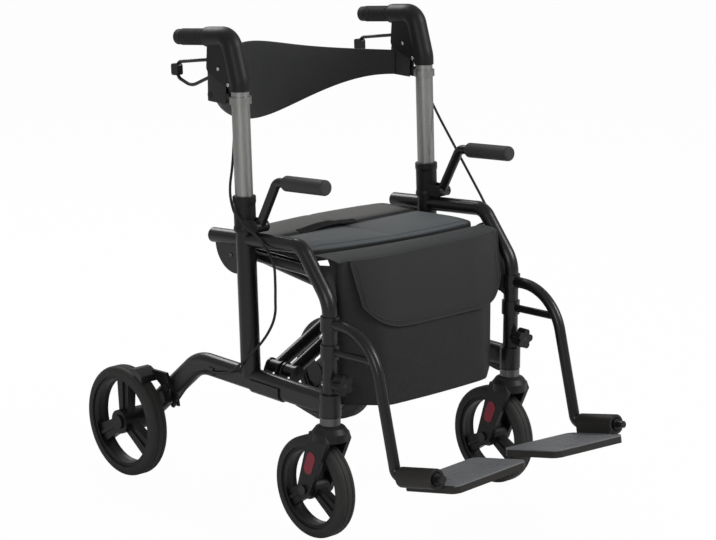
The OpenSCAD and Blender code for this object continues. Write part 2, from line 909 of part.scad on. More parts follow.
// Handle housing: a moulded neck that turns back into the grip's core, with the lever's cheeks behind
module handle_housing(s) {
    slot_w = lever_t + 2 * side_gap;
    color(charcoal) side(s) on_post() {
        difference() {
            union() {
                bent([neck_low, neck_bend, neck_top, grip_root], [neck_bend_r, neck_top_r])
                    round_section(d = neck_d);
                plate_x(-block_w / 2, block_w / 2)
                    lever_block();
            }
            translate([0, 0, neck_socket_top - neck_d])
                cylinder(h = neck_d, d = tube_d);
            plate_x(-slot_w / 2, slot_w / 2)
                lever_slot();
        }
        pin_x(lever_pivot, lever_pin_d, -block_w / 2 + side_gap, block_w / 2 - side_gap);
        grip_bar(grip_core_d, -neck_d / 2, grip_l - grip_flange_t);
    }
}

// Outline of the block that holds the lever, blended into the neck
module lever_block() {
    r = 12;
    polygon([
        [neck_d / 4, handle_h], [neck_top[0] - 6, neck_top[1] - 10], [grip_root[0] - 8, grip_root[1] - 4],
        lever_pivot + [r, 0], lever_pivot + [0, -r], [neck_d / 2, handle_h + 4]
    ]);
    translate(lever_pivot)
        circle(r);
}

// Room for the lever between the cheeks
module lever_slot() {
    r = lever_boss_d / 2 + 2;
    up = lever_top - lever_pivot[1] + lever_wire_d / 2 + lever_room;
    down = lever_pivot[1] - lever_low + lever_wire_d / 2 + lever_room;
    translate(lever_pivot)
        circle(r);
    translate(lever_pivot - [0, down])
        square([3 * r, up + down]);
}

// A round bar along the grip's axis, from the neck
module grip_bar(d, from, to) {
    translate([0, grip_root[0], grip_root[1]])
        rotate([-90 - grip_drop, 0, 0])
            translate([0, 0, from])
                cylinder(h = to - from, d = d);
}

// Hand grip: a turned rubber sleeve with a swell, ribs and an end flange
module handle_grip(s) {
    rib = grip_l / (grip_ribs + 3);
    color(rubber) side(s) on_post()
        translate([0, grip_root[0], grip_root[1]])
            rotate([-90 - grip_drop, 0, 0])
                difference() {
                    union() {
                        cylinder(h = grip_l, d = grip_d);
                        cylinder(h = grip_flange_t, d = grip_flange_d);
                        for (i = [0 : grip_ribs - 1])
                            translate([0, 0, grip_flange_t + rib * (i + 1)])
                                cylinder(h = rib / 2, d = grip_d + 2 * grip_rib_h);
                        translate([0, 0, grip_l])
                            scale(grip_d / 2)
                                intersection() {
                                    translate([0, 0, -1])
                                        sphere(sqrt(2));
                                    translate([0, 0, 1])
                                        cube(2, center = true);
                                    cylinder(h = 3, r = 1, center = true);
                                }
                    }
                    translate([0, 0, -over])
                        cylinder(h = grip_l - grip_flange_t + over, d = grip_core_d);
                }
}

// Backrest bracket: a band round the handle tube and an arm back to the strap's end
module backrest_bracket(s) {
    arm_mid = band_low + bracket_h / 2;
    color(black) side(s) on_post() {
        difference() {
            union() {
                translate([0, 0, band_low])
                    cylinder(h = band_h, d = tube_d + 2 * band_wall);
                plate_x(-bracket_t / 2, bracket_t / 2)
                    bracket_outline(arm_mid);
            }
            translate([0, 0, band_low - over])
                cylinder(h = bracket_h + 2 * over, d = tube_d);
        }
        pin_x([bracket_reach - bracket_h / 2, arm_mid], bolt_d, -bracket_t / 2, bracket_t / 2 + bolt_t);
        pin_x([tube_d / 2 + bolt_d, arm_mid], bolt_d, -bracket_t / 2, bracket_t / 2 + bolt_t);
    }
}

// Arm of the bracket, with a round end
module bracket_outline(arm_mid) {
    translate([0, arm_mid - bracket_h / 2])
        square([bracket_reach - bracket_h / 2, bracket_h * 0.8]);
    translate([bracket_reach - bracket_h / 2, arm_mid])
        circle(d = bracket_h);
}

// Brake lever: a wire loop with a bead at its end, on a flat root that turns on the pin
module brake_lever(s) {
    color(charcoal) side(s) on_post() difference() {
        union() {
            bent(lever_path, lever_bends)
                round_section(d = lever_wire_d);
            plate_x(-lever_t / 2, lever_t / 2)
                lever_root();
            plate_x(-bead_w / 2, bead_w / 2)
                translate([lever_rear + 2, lever_pivot[1] - 13])
                    rounded(bead_l, bead_h, 4);
        }
        pin_x(lever_pivot, lever_pin_d + 2 * run_fit, -lever_t, lever_t);
    }
}

// Flat root of the lever
module lever_root() {
    r = lever_boss_d / 2;
    translate(lever_pivot)
        circle(r);
    polygon([
        lever_pivot + [0, r], lever_pivot + [r + 6, r + 2],
        lever_pivot + [r + 8, -r - 6], lever_pivot + [0, -r]
    ]);
}

// Brake arm: a cranked plate on the rail's pivot, with the shoe over the tyre and a cable lever below
module brake_arm(s) {
    shoe_r = rear_r + shoe_gap;
    shoe_x = rear_out - shoe_w / 2;
    color(charcoal) side(s) difference() {
        union() {
            plate_x(brake_x, brake_x + brake_arm_t)
                brake_outline();
            plate_x(brake_x, rear_out + shoe_w / 2)
                intersection() {
                    translate([shoe_y - shoe_l / 2, brake_pivot[1] - shoe_h])
                        square([shoe_l, 2 * brake_head + shoe_h]);
                    translate([wheelbase, rear_r])
                        difference() {
                            circle(shoe_r + shoe_h);
                            circle(shoe_r);
                        }
                }
        }
        pin_x(brake_pivot, brake_pin_d + 2 * run_fit, brake_x - over, shoe_x + over);
    }
}

// Side outline of the brake arm
module brake_outline() {
    r = brake_boss_d / 2 - 1;
    head = brake_pivot + [4, r + brake_head];
    translate(brake_pivot)
        circle(r);
    polygon([
        brake_pivot + [-r, 0], head + [-r, -4], head + [-r / 2, 3], [shoe_y, head[1] + 1],
        [shoe_y + shoe_l / 4, head[1] - 8], [shoe_y - shoe_l / 2, head[1] - 13], brake_pivot + [r, 0]
    ]);
    polygon([
        brake_pivot + [-r, 0], brake_pivot + [r, 0],
        brake_pivot + [2, -2.4 * r], brake_pivot + [-r, -2.4 * r]
    ]);
}

// Wheel rim: a channel, a hub and tapered spokes
module rim(at, d, w, hub_d, hub_long, bore) {
    seat_r = d / 2 - tyre_h;
    root = hub_d * 0.52;
    tip = hub_d * 0.78;
    spoke_t = w * 0.5;
    translate([0, at[0], at[1]])
        rotate([0, 90, 0])
            difference() {
                union() {
                    rotate_extrude()
                        rim_section(seat_r, w - 2 * rim_lip);
                    cylinder(h = hub_long, d = hub_d, center = true);
                    for (i = [0 : spokes - 1])
                        rotate(180 + i * 360 / spokes)
                            translate([0, 0, -spoke_t / 2])
                                linear_extrude(spoke_t)
                                    polygon([
                                        [0, -root / 2], [seat_r - rim_t, -tip / 2], [seat_r - rim_t / 2, -tip / 2],
                                        [seat_r - rim_t / 2, tip / 2], [seat_r - rim_t, tip / 2], [0, root / 2]
                                    ]);
                    for (i = [0 : spokes - 1])
                        rotate(180 + i * 360 / spokes)
                            translate([0, 0, -w / 3])
                                linear_extrude(2 * w / 3)
                                    translate([hub_d / 3, -root / 8])
                                        square([seat_r - hub_d / 3 - rim_t / 2, root / 4]);
                }
                cylinder(h = 2 * hub_long, d = bore, center = true);
            }
}

// Half section of the rim's channel, dished between two lips
module rim_section(seat_r, w) {
    dish = 2;
    polygon([
        [seat_r - rim_t, -w / 2], [seat_r, -w / 2], [seat_r, w / 2], [seat_r - rim_t, w / 2],
        [seat_r - rim_t + dish, w / 4], [seat_r - rim_t + dish, -w / 4]
    ]);
}

// Tyre: a turned ring with round shoulders and shallow grooves
module tyre(at, d, w) {
    seat_r = d / 2 - tyre_h;
    shoulder = 9;
    translate([0, at[0], at[1]])
        rotate([0, 90, 0])
            rotate_extrude()
                difference() {
                    union() {
                        translate([seat_r, -w / 2])
                            square([tyre_h - shoulder, w]);
                        translate([seat_r, -w / 2 + shoulder])
                            square([tyre_h, w - 2 * shoulder]);
                        for (i = [-1, 1])
                            translate([d / 2 - shoulder, i * (w / 2 - shoulder)])
                                circle(shoulder);
                    }
                    translate([seat_r - 2 * shoulder, -w])
                        square([2 * shoulder, 2 * w]);
                    for (i = [0 : tread_grooves - 1])
                        translate([d / 2 - groove_d, (i - (tread_grooves - 1) / 2) * w / 3 - groove_w / 2])
                            square([2 * groove_d, groove_w]);
                }
}

module rear_rim(s) {
    color(black) side(s)
        translate([rear_out, 0, 0])
            rim([wheelbase, rear_r], rear_d, rear_w, rear_hub_d, hub_w, axle_d + 2 * run_fit);
}

module rear_tyre(s) {
    color(rubber) side(s)
        translate([rear_out, 0, 0])
            tyre([wheelbase, rear_r], rear_d, rear_w);
}

module front_rim(s) {
    color(black) side(s)
        rim([trail, front_r], front_d, front_w, front_hub_d, front_hub_w, front_axle_d + 2 * run_fit);
}

module front_tyre(s) {
    color(rubber) side(s)
        tyre([trail, front_r], front_d, front_w);
}

// Caster fork: a domed crown on the stem and two legs that sweep back to the axle
module caster_fork(s) {
    color(charcoal) side(s) difference() {
        union() {
            rotate_extrude()
                crown_profile();
            for (i = [-1, 1])
                plate_x(i < 0 ? -fork_in - fork_t : fork_in, i < 0 ? -fork_in : fork_in + fork_t)
                    fork_leg();
        }
        translate([0, 0, crown_low - over])
            cylinder(h = stem_l + rail_z, d = stem_d + 2 * run_fit);
        pin_x([trail, front_r], front_axle_d, -2 * fork_in, 2 * fork_in);
        for (i = [-1, 1])
            plate_x(
                i < 0 ? -fork_in - fork_t - over : fork_in + fork_t - inlay_depth,
                i < 0 ? -fork_in - fork_t + inlay_depth : fork_in + fork_t + over
            )
                inlay_outline();
    }
}

// Half section of the fork's crown
module crown_profile() {
    edge = 12;
    polygon([
        [0, crown_low], [crown_r, crown_low], [crown_r, crown_top - edge],
        [crown_r - edge / 2, crown_top - edge / 3], [cup_d / 2, crown_top], [0, crown_top]
    ]);
}

// Side outline of a fork leg, from the crown back to the axle
module fork_leg() {
    translate([trail, front_r])
        circle(fork_boss_r);
    polygon([
        [-fork_top_w / 2, crown_low + 2], [-fork_top_w / 2 + 6, crown_top - 12],
        [fork_top_w / 2, crown_top - 12], [fork_top_w / 2 + 6, crown_low - 4],
        [trail + fork_boss_r, front_r + 2], [trail - fork_boss_r, front_r - 2]
    ]);
}

// Outline of the coloured inlay, along the fork leg
module inlay_outline() {
    top = [2, crown_low];
    mid = top + inlay_place * ([trail, front_r] - top) + [2, 4];
    translate(mid)
        rotate(heading([trail, front_r], top))
            slot(inlay_l, inlay_w);
}

// Coloured inlays in both fork legs
module fork_inlay(s) {
    color(red) side(s)
        for (i = [-1, 1])
            plate_x(
                i < 0 ? -fork_in - fork_t - inlay_stand : fork_in + fork_t - inlay_depth,
                i < 0 ? -fork_in - fork_t + inlay_depth : fork_in + fork_t + inlay_stand
            )
                inlay_outline();
}

// Front axle with a round head on each side of the fork
module front_axle(s) {
    head_d = 16;
    head_t = 4;
    end = fork_in + fork_t;
    color(silver) side(s) {
        pin_x([trail, front_r], front_axle_d, -end - head_t, end + head_t);
        pin_x([trail, front_r], head_d, -end - head_t, -end);
        pin_x([trail, front_r], head_d, end, end + head_t);
    }
}

// Armrest tube, from its pivot up and forward under the pad
module arm_tube(s) {
    along = (arm_tip - arm_elbow) / norm(arm_tip - arm_elbow);
    color(black) side(s) difference() {
        union() {
            bent([arm_pivot, arm_elbow, arm_tip - 10 * along], [arm_bend_r])
                round_section(d = arm_d);
            pin_x(arm_pivot, arm_boss_d, -arm_boss_w / 2, arm_boss_w / 2);
        }
        pin_x(arm_pivot, arm_pin_d + 2 * run_fit, -arm_boss_w, arm_boss_w);
    }
}

// Armrest pad: a turned foam sleeve with round ends
module arm_pad(s) {
    long = norm(arm_tip - arm_elbow) - arm_pad_start;
    color(rubber) side(s)
        translate([0, arm_elbow[0], arm_elbow[1]])
            rotate([90 - heading([0, 0], [arm_l, arm_tip_rise]), 0, 0])
                translate([0, 0, arm_pad_start])
                    rotate_extrude()
                        arm_pad_profile(long);
}

// Half section of the pad, hollow for the tube
module arm_pad_profile(long) {
    r = arm_pad_d / 2;
    edge = 5;
    difference() {
        union() {
            translate([0, edge])
                square([r, long - 2 * edge]);
            square([r - edge, long]);
            translate([r - edge, edge])
                circle(edge);
            translate([r - edge, long - edge])
                circle(edge);
        }
        translate([-r, -over])
            square([r + arm_d / 2, long - 10 + over]);
        translate([-r, 0])
            square([r, long]);
    }
}

// Footrest hanger: a bent tube with two sleeves on the leg, a strut and the hinge's axle at its foot
module footrest_hanger(s) {
    strut_top = strut_z + strut_rise;
    strut_end = [-hanger_reach - (hanger_z - strut_top) * tan(hanger_slant), strut_top];
    color(black) side(s) {
        difference() {
            union() {
                bent(hanger_path, [hanger_bend_r, hinge_bend_r])
                    round_section(d = hanger_d);
                bent([[0, strut_z], strut_end], [])
                    round_section(d = strut_d);
                translate([0, 0, hanger_z - sleeve_h / 2])
                    cylinder(h = sleeve_h, d = sleeve_d);
                translate([0, 0, strut_z - sleeve_h / 2])
                    cylinder(h = sleeve_h, d = sleeve_d);
            }
            translate([0, 0, strut_z - sleeve_h])
                cylinder(h = hanger_z - strut_z + 2 * sleeve_h, d = leg_d + 2 * run_fit);
        }
        on_hinge()
            pin_y([0, 0], peg_d, -hinge_end - peg_l, -hinge_end + peg_l);
    }
}

// Bush between the hanger's axle and the footplate's barrel
module hinge_bush(s) {
    color(charcoal) side(s) on_hinge() difference() {
        pin_y([0, 0], bush_d, -bush_start - bush_l, -bush_start);
        pin_y([0, 0], hanger_d + 2 * run_fit, -bush_start - bush_l - over, -bush_start + over);
    }
}

// Footplate: a hinge barrel and a deck with a rim and grooves on top and ribs below
module footplate(s) {
    web = barrel_d / 2 - deck_in + deck_web;
    color(grey) side(s) on_hinge() difference() {
        union() {
            pin_y([0, 0], barrel_d, -barrel_start - barrel_l, -barrel_start);
            translate([-deck_in, 0, -deck_drop])
                rotate([0, deck_roll, 0]) {
                    translate([-plate_w / 2, -plate_l / 2 - deck_start, 0])
                        deck();
                    translate([-web, -barrel_start - barrel_l + over, over - plate_t])
                        cube([web + deck_in / 2, barrel_l - 2 * over, plate_t - over + deck_drop - deck_web]);
                }
        }
        pin_y([0, 0], bush_d + 2 * run_fit, -barrel_start - barrel_l - over, -barrel_start + over);
    }
}

// Deck of the footplate, its top face at zero height
module deck() {
    pitch = plate_l / (deck_grooves + 1);
    difference() {
        translate([0, 0, -plate_t])
            linear_extrude(plate_t)
                rounded(plate_w, plate_l, deck_corner_r);
        for (i = [1 : deck_grooves])
            translate([-plate_w * 0.3, -plate_l / 2 + i * pitch - deck_groove_w / 2, -deck_groove_d])
                cube([plate_w * 0.6, deck_groove_w, deck_groove_d + over]);
    }
    translate([0, 0, -deck_rim_h])
        linear_extrude(deck_rim_h - deck_groove_d)
            difference() {
                rounded(plate_w, plate_l, deck_corner_r);
                rounded(plate_w - 2 * deck_rim_t, plate_l - 2 * deck_rim_t, deck_corner_r - deck_rim_t);
            }
    for (i = [1 : deck_ribs])
        translate([-plate_w / 2 + deck_rim_t / 2, -plate_l / 2 + i * plate_l / (deck_ribs + 1), -deck_rim_h])
            cube([plate_w - deck_rim_t, deck_rim_t, deck_rim_h - plate_t + over]);
}

// Lock knob: a lobed hand wheel on the leg's stud
module lock_knob(s) {
    color(black) side(s)
        translate([0, -knob_start, knob_z])
            rotate([90, 0, 0])
                difference() {
                    union() {
                        cylinder(h = knob_t, d = knob_core_d);
                        for (i = [0 : knob_lobes - 1])
                            rotate(i * 360 / knob_lobes)
                                translate([(knob_d - knob_lobe_d) / 2, 0, 0])
                                    cylinder(h = knob_t, d = knob_lobe_d);
                    }
                    translate([0, 0, -over])
                        cylinder(h = knob_t + 2 * over, d = stud_d + 2 * run_fit);
                }
}

// One half of the cross brace: two legs with eyes, and the seat tube across their upper ends
// s is the side of its lower pivots, legs the half distance between its legs
module brace_half_frame(s, legs, mid_bore) {
    translate([s * brace_half, 0, brace_low_z])
        mirror([s < 0 ? 1 : 0, 0, 0])
            rotate([0, brace_angle, 0])
                difference() {
                    union() {
                        for (i = [-1, 1])
                            translate([0, brace_y + i * legs, 0]) {
                                rotate([0, -90, 0])
                                    cylinder(h = brace_span, d = brace_d);
                                pin_y([0, 0], brace_eye_d, -brace_eye_w / 2, brace_eye_w / 2);
                                pin_y([-brace_span / 2, 0], brace_eye_d, -brace_eye_w / 2, brace_eye_w / 2);
                            }
                        pin_y([-brace_span, 0], brace_d, seat_tube_front, seat_tube_back);
                    }
                    pin_y([0, 0], brace_pin_d + 2 * run_fit, 0, seat_back);
                    pin_y([-brace_span / 2, 0], mid_bore, 0, seat_back);
                }
}

module cross_brace_a() {
    color(black) middle()
        brace_half_frame(1, brace_wide, brace_pin_d + 2 * run_fit);
}

module cross_brace_b() {
    color(charcoal) middle()
        brace_half_frame(-1, brace_narrow, brace_pin_d);
}

// Pin through the middle of both braces
module brace_pin() {
    reach = brace_wide + brace_eye_w / 2 + side_gap;
    mid = [0, (brace_low_z + brace_high_z) / 2];
    color(silver) middle() {
        pin_y(mid, brace_pin_d, brace_y - reach - pin_head_t, brace_y + reach + pin_head_t);
        pin_y(mid, pin_head_d, brace_y - reach - pin_head_t, brace_y - reach);
        pin_y(mid, pin_head_d, brace_y + reach, brace_y + reach + pin_head_t);
    }
}

// Closed skin between a top and an under surface on a grid of columns and rows
module grid_solid(top, under, rows, columns) {
    points = concat(top, under);
    n = rows * columns;
    cells = [for (i = [0 : columns - 2], j = [0 : rows - 2]) i * rows + j];
    skins = [
        for (c = cells)
            each [
                [c, c + 1, c + rows], [c + 1, c + rows + 1, c + rows],
                [n + c, n + c + rows, n + c + 1], [n + c + 1, n + c + rows, n + c + rows + 1]
            ]
    ];
    rim = concat(
        [for (j = [0 : rows - 2]) [j, j + 1]],
        [for (i = [0 : columns - 2]) [i * rows + rows - 1, (i + 1) * rows + rows - 1]],
        [for (j = [0 : rows - 2]) [n - 1 - j, n - 2 - j]],
        [for (i = [columns - 1 : -1 : 1]) [i * rows, (i - 1) * rows]]
    );
    edge = [for (r = rim) each [[r[0], n + r[0], r[1]], [r[1], n + r[0], n + r[1]]]];
    polyhedron(points, concat(skins, edge));
}

// Seat pad of one side: crowned, drawn in at its edges and dipped along the sewn seam
module seat_pad() {
    n = pad_steps;
    function u(i) = 2 * i / n - 1;
    function swell(i, j) = sqrt(max(0, (1 - pow(u(i), 6)) * (1 - pow(u(j), 6))));
    function y_at(j) = seat_front + (seat_back - seat_front) * (1 + sin(90 * u(j))) / 2;
    function x_at(i) = seat_gap / 2 + (seat_half_w - seat_gap / 2) * (1 + sin(90 * u(i))) / 2;
    function seam(y) = seam_dip * exp(-pow((y - seam_y) / seam_half_l, 2));
    top = [
        for (i = [0 : n], j = [0 : n])
            [x_at(i), y_at(j), seat_top_z + seat_crown * swell(i, j) - seam(y_at(j)) * swell(i, j)]
    ];
    x_mid = (x_at(0) + x_at(n)) / 2;
    y_mid = (y_at(0) + y_at(n)) / 2;
    under = [
        for (i = [0 : n], j = [0 : n])
            [
                x_mid + (x_at(i) - x_mid) * (1 - seat_tuck / (x_at(n) - x_mid)),
                y_mid + (y_at(j) - y_mid) * (1 - seat_tuck / (y_at(n) - y_mid)),
                seat_base_z
            ]
    ];
    grid_solid(under, top, n + 1, n + 1);
}

module seat_panel_r() {
    color(slate) middle()
        mirror([1, 0, 0])
            seat_pad();
}

module seat_panel_l() {
    color(slate) middle()
        seat_pad();
}

// Plan of the bag: a flat front, slanted corners and straight sides, shrunk by a margin
module bag_plan(front, margin) {
    polygon([
        [-bag_front_half + margin / 2, front + margin], [bag_front_half - margin / 2, front + margin],
        [bag_back_half - margin, bag_chamfer + margin / 2], [bag_back_half - margin, bag_back_y - margin],
        [-bag_back_half + margin, bag_back_y - margin], [-bag_back_half + margin, bag_chamfer + margin / 2]
    ]);
}

// Body of the bag, whose front leans out towards its lower edge
module bag_body(margin, low, high) {
    hull() {
        translate([0, 0, high - 1])
            linear_extrude(1)
                bag_plan(bag_front_y, margin);
        translate([0, 0, low])
            linear_extrude(1)
                bag_plan(bag_front_y - bag_lean, margin);
    }
}

// Bag: a cloth box under the seat's front edge, with a hem to the seat and a mouth behind the flap
module bag() {
    color(black) middle() difference() {
        union() {
            bag_body(0, bag_low_z, bag_top_z - hem_drop);
            translate([-bag_back_half + over, bag_back_y - over, bag_top_z - hem_drop - hem_t])
                cube([2 * bag_back_half - 2 * over, hem_back - bag_back_y + over, hem_t]);
        }
        bag_body(cloth_t, bag_low_z + cloth_t, bag_top_z - hem_drop - cloth_t);
        translate([-mouth_half, bag_front_y - bag_lean, mouth_low])
            cube([2 * mouth_half, bag_lean + 2 * cloth_t, mouth_high - mouth_low]);
    }
}

// Flap: a cloth cover over the bag's front, with round lower corners
module bag_flap() {
    color(charcoal) middle() intersection() {
        difference() {
            bag_body(-flap_gap - cloth_t, bag_low_z, bag_top_z - 3);
            bag_body(-flap_gap, bag_low_z - over, bag_top_z + over);
        }
        plate_y(-2 * bag_lean - bag_chamfer, bag_chamfer - 4)
            flap_outline();
    }
}

// Front outline of the flap
module flap_outline() {
    r = flap_corner_r;
    half = bag_front_half - r;
    polygon([
        [-bag_back_half, flap_top_z], [-bag_front_half, flap_shoulder_z + r],
        [-bag_front_half, flap_low_z + r], [-half, flap_low_z], [half, flap_low_z],
        [bag_front_half, flap_low_z + r], [bag_front_half, flap_shoulder_z + r], [bag_back_half, flap_top_z]
    ]);
    for (i = [-1, 1])
        translate([i * half, flap_low_z + r])
            circle(r);
}

// Back strap: a padded sling that sweeps back and deepens towards its middle
module backrest() {
    function w(i) = 2 * i / strap_steps - 1;
    function mid_y(i) = strap_base[0] + strap_sweep * (1 - w(i) * w(i));
    function swell(i) = (1 + cos(180 * w(i))) / 2;
    function top_z(i) = strap_base[1] + strap_end_h / 2 + strap_top_rise * swell(i);
    function low_z(i) = strap_base[1] - strap_end_h / 2 - strap_low_drop * swell(i);
    function v(j) = 2 * j / strap_rows - 1;
    function half_t(i, j) = strap_t / 2 * (1 - 0.5 * pow(v(j), 4))
        + strap_crown * (1 - pow(w(i), 4)) * (1 - pow(v(j), 4));
    function point(i, j, way) = [
        strap_x_end * w(i), mid_y(i) + way * half_t(i, j),
        (top_z(i) + low_z(i)) / 2 + (top_z(i) - low_z(i)) / 2 * v(j)
    ];
    color(charcoal) middle()
        grid_solid(
            [for (i = [0 : strap_steps], j = [0 : strap_rows]) point(i, j, 1)],
            [for (i = [0 : strap_steps], j = [0 : strap_rows]) point(i, j, -1)],
            strap_rows + 1, strap_steps + 1
        );
}

for (side_row = SIDES) {
    name = side_row[0];
    s = side_row[1];
    front_leg(s);
    handle_post(s);
    post_collar(s);
    lower_rail(s);
    rear_axle(s);
    caster_housing(s);
    brake_cable(s);
    handle_tube(s);
    handle_housing(s);
    handle_grip(s);
    backrest_bracket(s);
    brake_lever(s);
    brake_arm(s);
    rear_rim(s);
    rear_tyre(s);
    caster_fork(s);
    fork_inlay(s);
    front_rim(s);
    front_tyre(s);
    front_axle(s);
    arm_tube(s);
    arm_pad(s);
    footrest_hanger(s);
    hinge_bush(s);
    footplate(s);
    lock_knob(s);
}
cross_brace_a();
cross_brace_b();
brace_pin();
seat_panel_r();
seat_panel_l();
bag();
bag_flap();
backrest();
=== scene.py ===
# %% [markdown]
# A rollator that is also a transport chair: two black side frames, a cross brace between them,
# a padded seat, a back strap, a bag, four wheels and two footrests. The hard pieces come from a
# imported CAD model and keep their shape. This lesson gives them finishes, and models the soft
# pieces and small fittings around them. Lengths are metres, as in the CAD model.

# %% Load the CAD frame
import bpy
import bmesh
import json
import math
from mathutils import Matrix, Vector


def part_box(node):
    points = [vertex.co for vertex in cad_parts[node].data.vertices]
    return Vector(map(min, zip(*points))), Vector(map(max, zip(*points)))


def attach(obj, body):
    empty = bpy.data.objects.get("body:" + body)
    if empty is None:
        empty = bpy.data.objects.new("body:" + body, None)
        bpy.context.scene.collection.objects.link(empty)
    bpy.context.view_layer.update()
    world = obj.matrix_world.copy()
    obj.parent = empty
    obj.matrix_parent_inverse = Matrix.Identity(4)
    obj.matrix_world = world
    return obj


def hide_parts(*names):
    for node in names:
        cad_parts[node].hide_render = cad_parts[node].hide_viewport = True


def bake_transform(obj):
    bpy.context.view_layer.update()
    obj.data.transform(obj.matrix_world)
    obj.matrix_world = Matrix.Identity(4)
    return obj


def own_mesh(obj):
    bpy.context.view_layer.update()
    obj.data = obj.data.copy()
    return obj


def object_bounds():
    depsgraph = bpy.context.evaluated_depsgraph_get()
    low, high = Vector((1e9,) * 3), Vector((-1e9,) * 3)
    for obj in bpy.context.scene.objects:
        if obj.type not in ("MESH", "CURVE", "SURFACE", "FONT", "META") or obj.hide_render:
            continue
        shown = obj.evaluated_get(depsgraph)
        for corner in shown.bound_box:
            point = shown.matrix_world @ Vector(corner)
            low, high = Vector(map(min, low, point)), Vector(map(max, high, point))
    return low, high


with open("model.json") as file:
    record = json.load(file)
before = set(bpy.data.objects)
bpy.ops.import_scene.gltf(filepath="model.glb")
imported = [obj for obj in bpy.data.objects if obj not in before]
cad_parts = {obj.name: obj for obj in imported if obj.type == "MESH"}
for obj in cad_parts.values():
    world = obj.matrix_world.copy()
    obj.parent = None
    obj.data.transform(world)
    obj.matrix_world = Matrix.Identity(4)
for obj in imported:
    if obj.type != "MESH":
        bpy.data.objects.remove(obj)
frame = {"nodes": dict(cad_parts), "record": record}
cad_low, cad_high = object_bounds()
scene = bpy.context.scene
print("CAD pieces:", len(frame["nodes"]), "box:", cad_low, cad_high)

# %% [markdown]
# The chair was drawn in millimetres with y counted from the front leg's axis, so this lesson
# keeps that habit. One helper turns such a point into the CAD model's frame. The front leg's
# place is measured on the caster bearing under it, so the soft pieces follow the CAD model.

# %% A maker's point in millimetres
low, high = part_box("caster_housing_r")
LEG_Y = (low[1] + high[1]) / 2
FRAME_X = abs(low[0] + high[0]) / 2
SIDE_MM = round(FRAME_X * 1000)


def mm(x, y, z):
    """A point of the drawing: millimetres, with y from the front leg's axis."""
    return Vector((x / 1000, y / 1000 + LEG_Y, z / 1000))


print("front leg at y", round(LEG_Y, 4), "side frame at x", round(FRAME_X, 4))

# %% [markdown]
# The camera stands where the photographer stood: at chest height off the chair's front right
# corner, and far away with a long lens, so that the far wheels look nearly as big as the near
# ones. The place and the lens were fitted to the wheels and tubes of the photograph.

# %% Camera
PHOTO_WIDE, FOCAL_PIXELS, SENSOR = 716, 2367, 36
lens = bpy.data.cameras.new("photo_camera")
lens.sensor_fit = "HORIZONTAL"
lens.sensor_width = SENSOR
lens.lens = SENSOR * FOCAL_PIXELS / PHOTO_WIDE
lens.clip_end = 50
camera = bpy.data.objects.new("photo_camera", lens)
scene.collection.objects.link(camera)
camera.location = mm(-2697, -2821, 1414)
yaw, pitch = math.radians(42.07), math.radians(14.08)
sight = Vector((math.sin(yaw) * math.cos(pitch), math.cos(yaw) * math.cos(pitch),
                -math.sin(pitch)))
camera.rotation_euler = sight.to_track_quat("-Z", "Y").to_euler()
scene.camera = camera
print("camera", [round(c, 3) for c in camera.location], "lens", round(lens.lens, 1), "mm")

# %% [markdown]
# A finish on a real product is never one flat colour. Four small effects come back in many of
# them, so each is built once as a shader node group: moulded grain, rubbed edges, a plain weave
# and settled dust. A group only puts out masks and heights. The shader stays in the material.

# %% Helpers for shader nodes
def put(tree, kind, **settings):
    """Adds a node. A name with a capital sets or links a socket, in0 and in1 go by number."""
    node = tree.nodes.new(kind)
    for name, value in settings.items():
        numbered = name[:2] == "in" and name[2:].isdigit()
        if not (numbered or name[0].isupper()):
            setattr(node, name, value)
            continue
        socket = node.inputs[int(name[2:]) if numbered else name.replace("_", " ")]
        if isinstance(value, bpy.types.NodeSocket):
            tree.links.new(value, socket)
        else:
            socket.default_value = value
    return node


def sums(tree, operation, a, b=0.0):
    """One Math node's result."""
    return put(tree, "ShaderNodeMath", operation=operation, in0=a, in1=b).outputs[0]


def plus(tree, a, b):
    return sums(tree, "ADD", a, b)


def times(tree, a, b):
    return sums(tree, "MULTIPLY", a, b)


def ramp(tree, value, start, end, top=1.0):
    """0 where the value is start, rising to top where it is end."""
    return put(tree, "ShaderNodeMapRange", Value=value, From_Min=start, From_Max=end,
               To_Max=top).outputs["Result"]


def noise(tree, at, scale, detail, rough=0.5):
    """Cloudy noise from 0 to 1."""
    return put(tree, "ShaderNodeTexNoise", Vector=at, Scale=scale, Detail=detail,
               Roughness=rough).outputs["Fac"]


def own_place(tree):
    """The shaded point in the piece's own coordinates."""
    return put(tree, "ShaderNodeTexCoord").outputs["Object"]


def split(tree, vector):
    """A vector's X, Y and Z."""
    return put(tree, "ShaderNodeSeparateXYZ", Vector=vector).outputs


def blend_colour(tree, factor, a, b):
    """Colour a where the factor is 0, colour b where it is 1."""
    node = put(tree, "ShaderNodeMix", data_type="RGBA", in0=factor, in6=a, in7=b)
    return node.outputs[2]


def effect(name, takes, gives):
    """A new node group with named inputs and number outputs."""
    tree = bpy.data.node_groups.new(name, "ShaderNodeTree")
    for label, kind, start in takes:
        made = tree.interface.new_socket(label, in_out="INPUT", socket_type=kind)
        if start is not None:
            made.default_value = start
    for label in gives:
        tree.interface.new_socket(label, in_out="OUTPUT", socket_type="NodeSocketFloat")
    return tree, put(tree, "NodeGroupInput").outputs, put(tree, "NodeGroupOutput").inputs


def new_material(name):
    """A material with nodes: the material, its tree and its shader."""
    made = bpy.data.materials.new(name)
    made.use_nodes = True
    return made, made.node_tree, made.node_tree.nodes["Principled BSDF"]


print("shader helpers ready")

# %% [markdown]
# Moulded grain is the fine leather-like skin of a plastic mould, or the orange peel of powder
# coat. Noise gives the swell and cells give the pits. Tone is a slow drift of the colour.

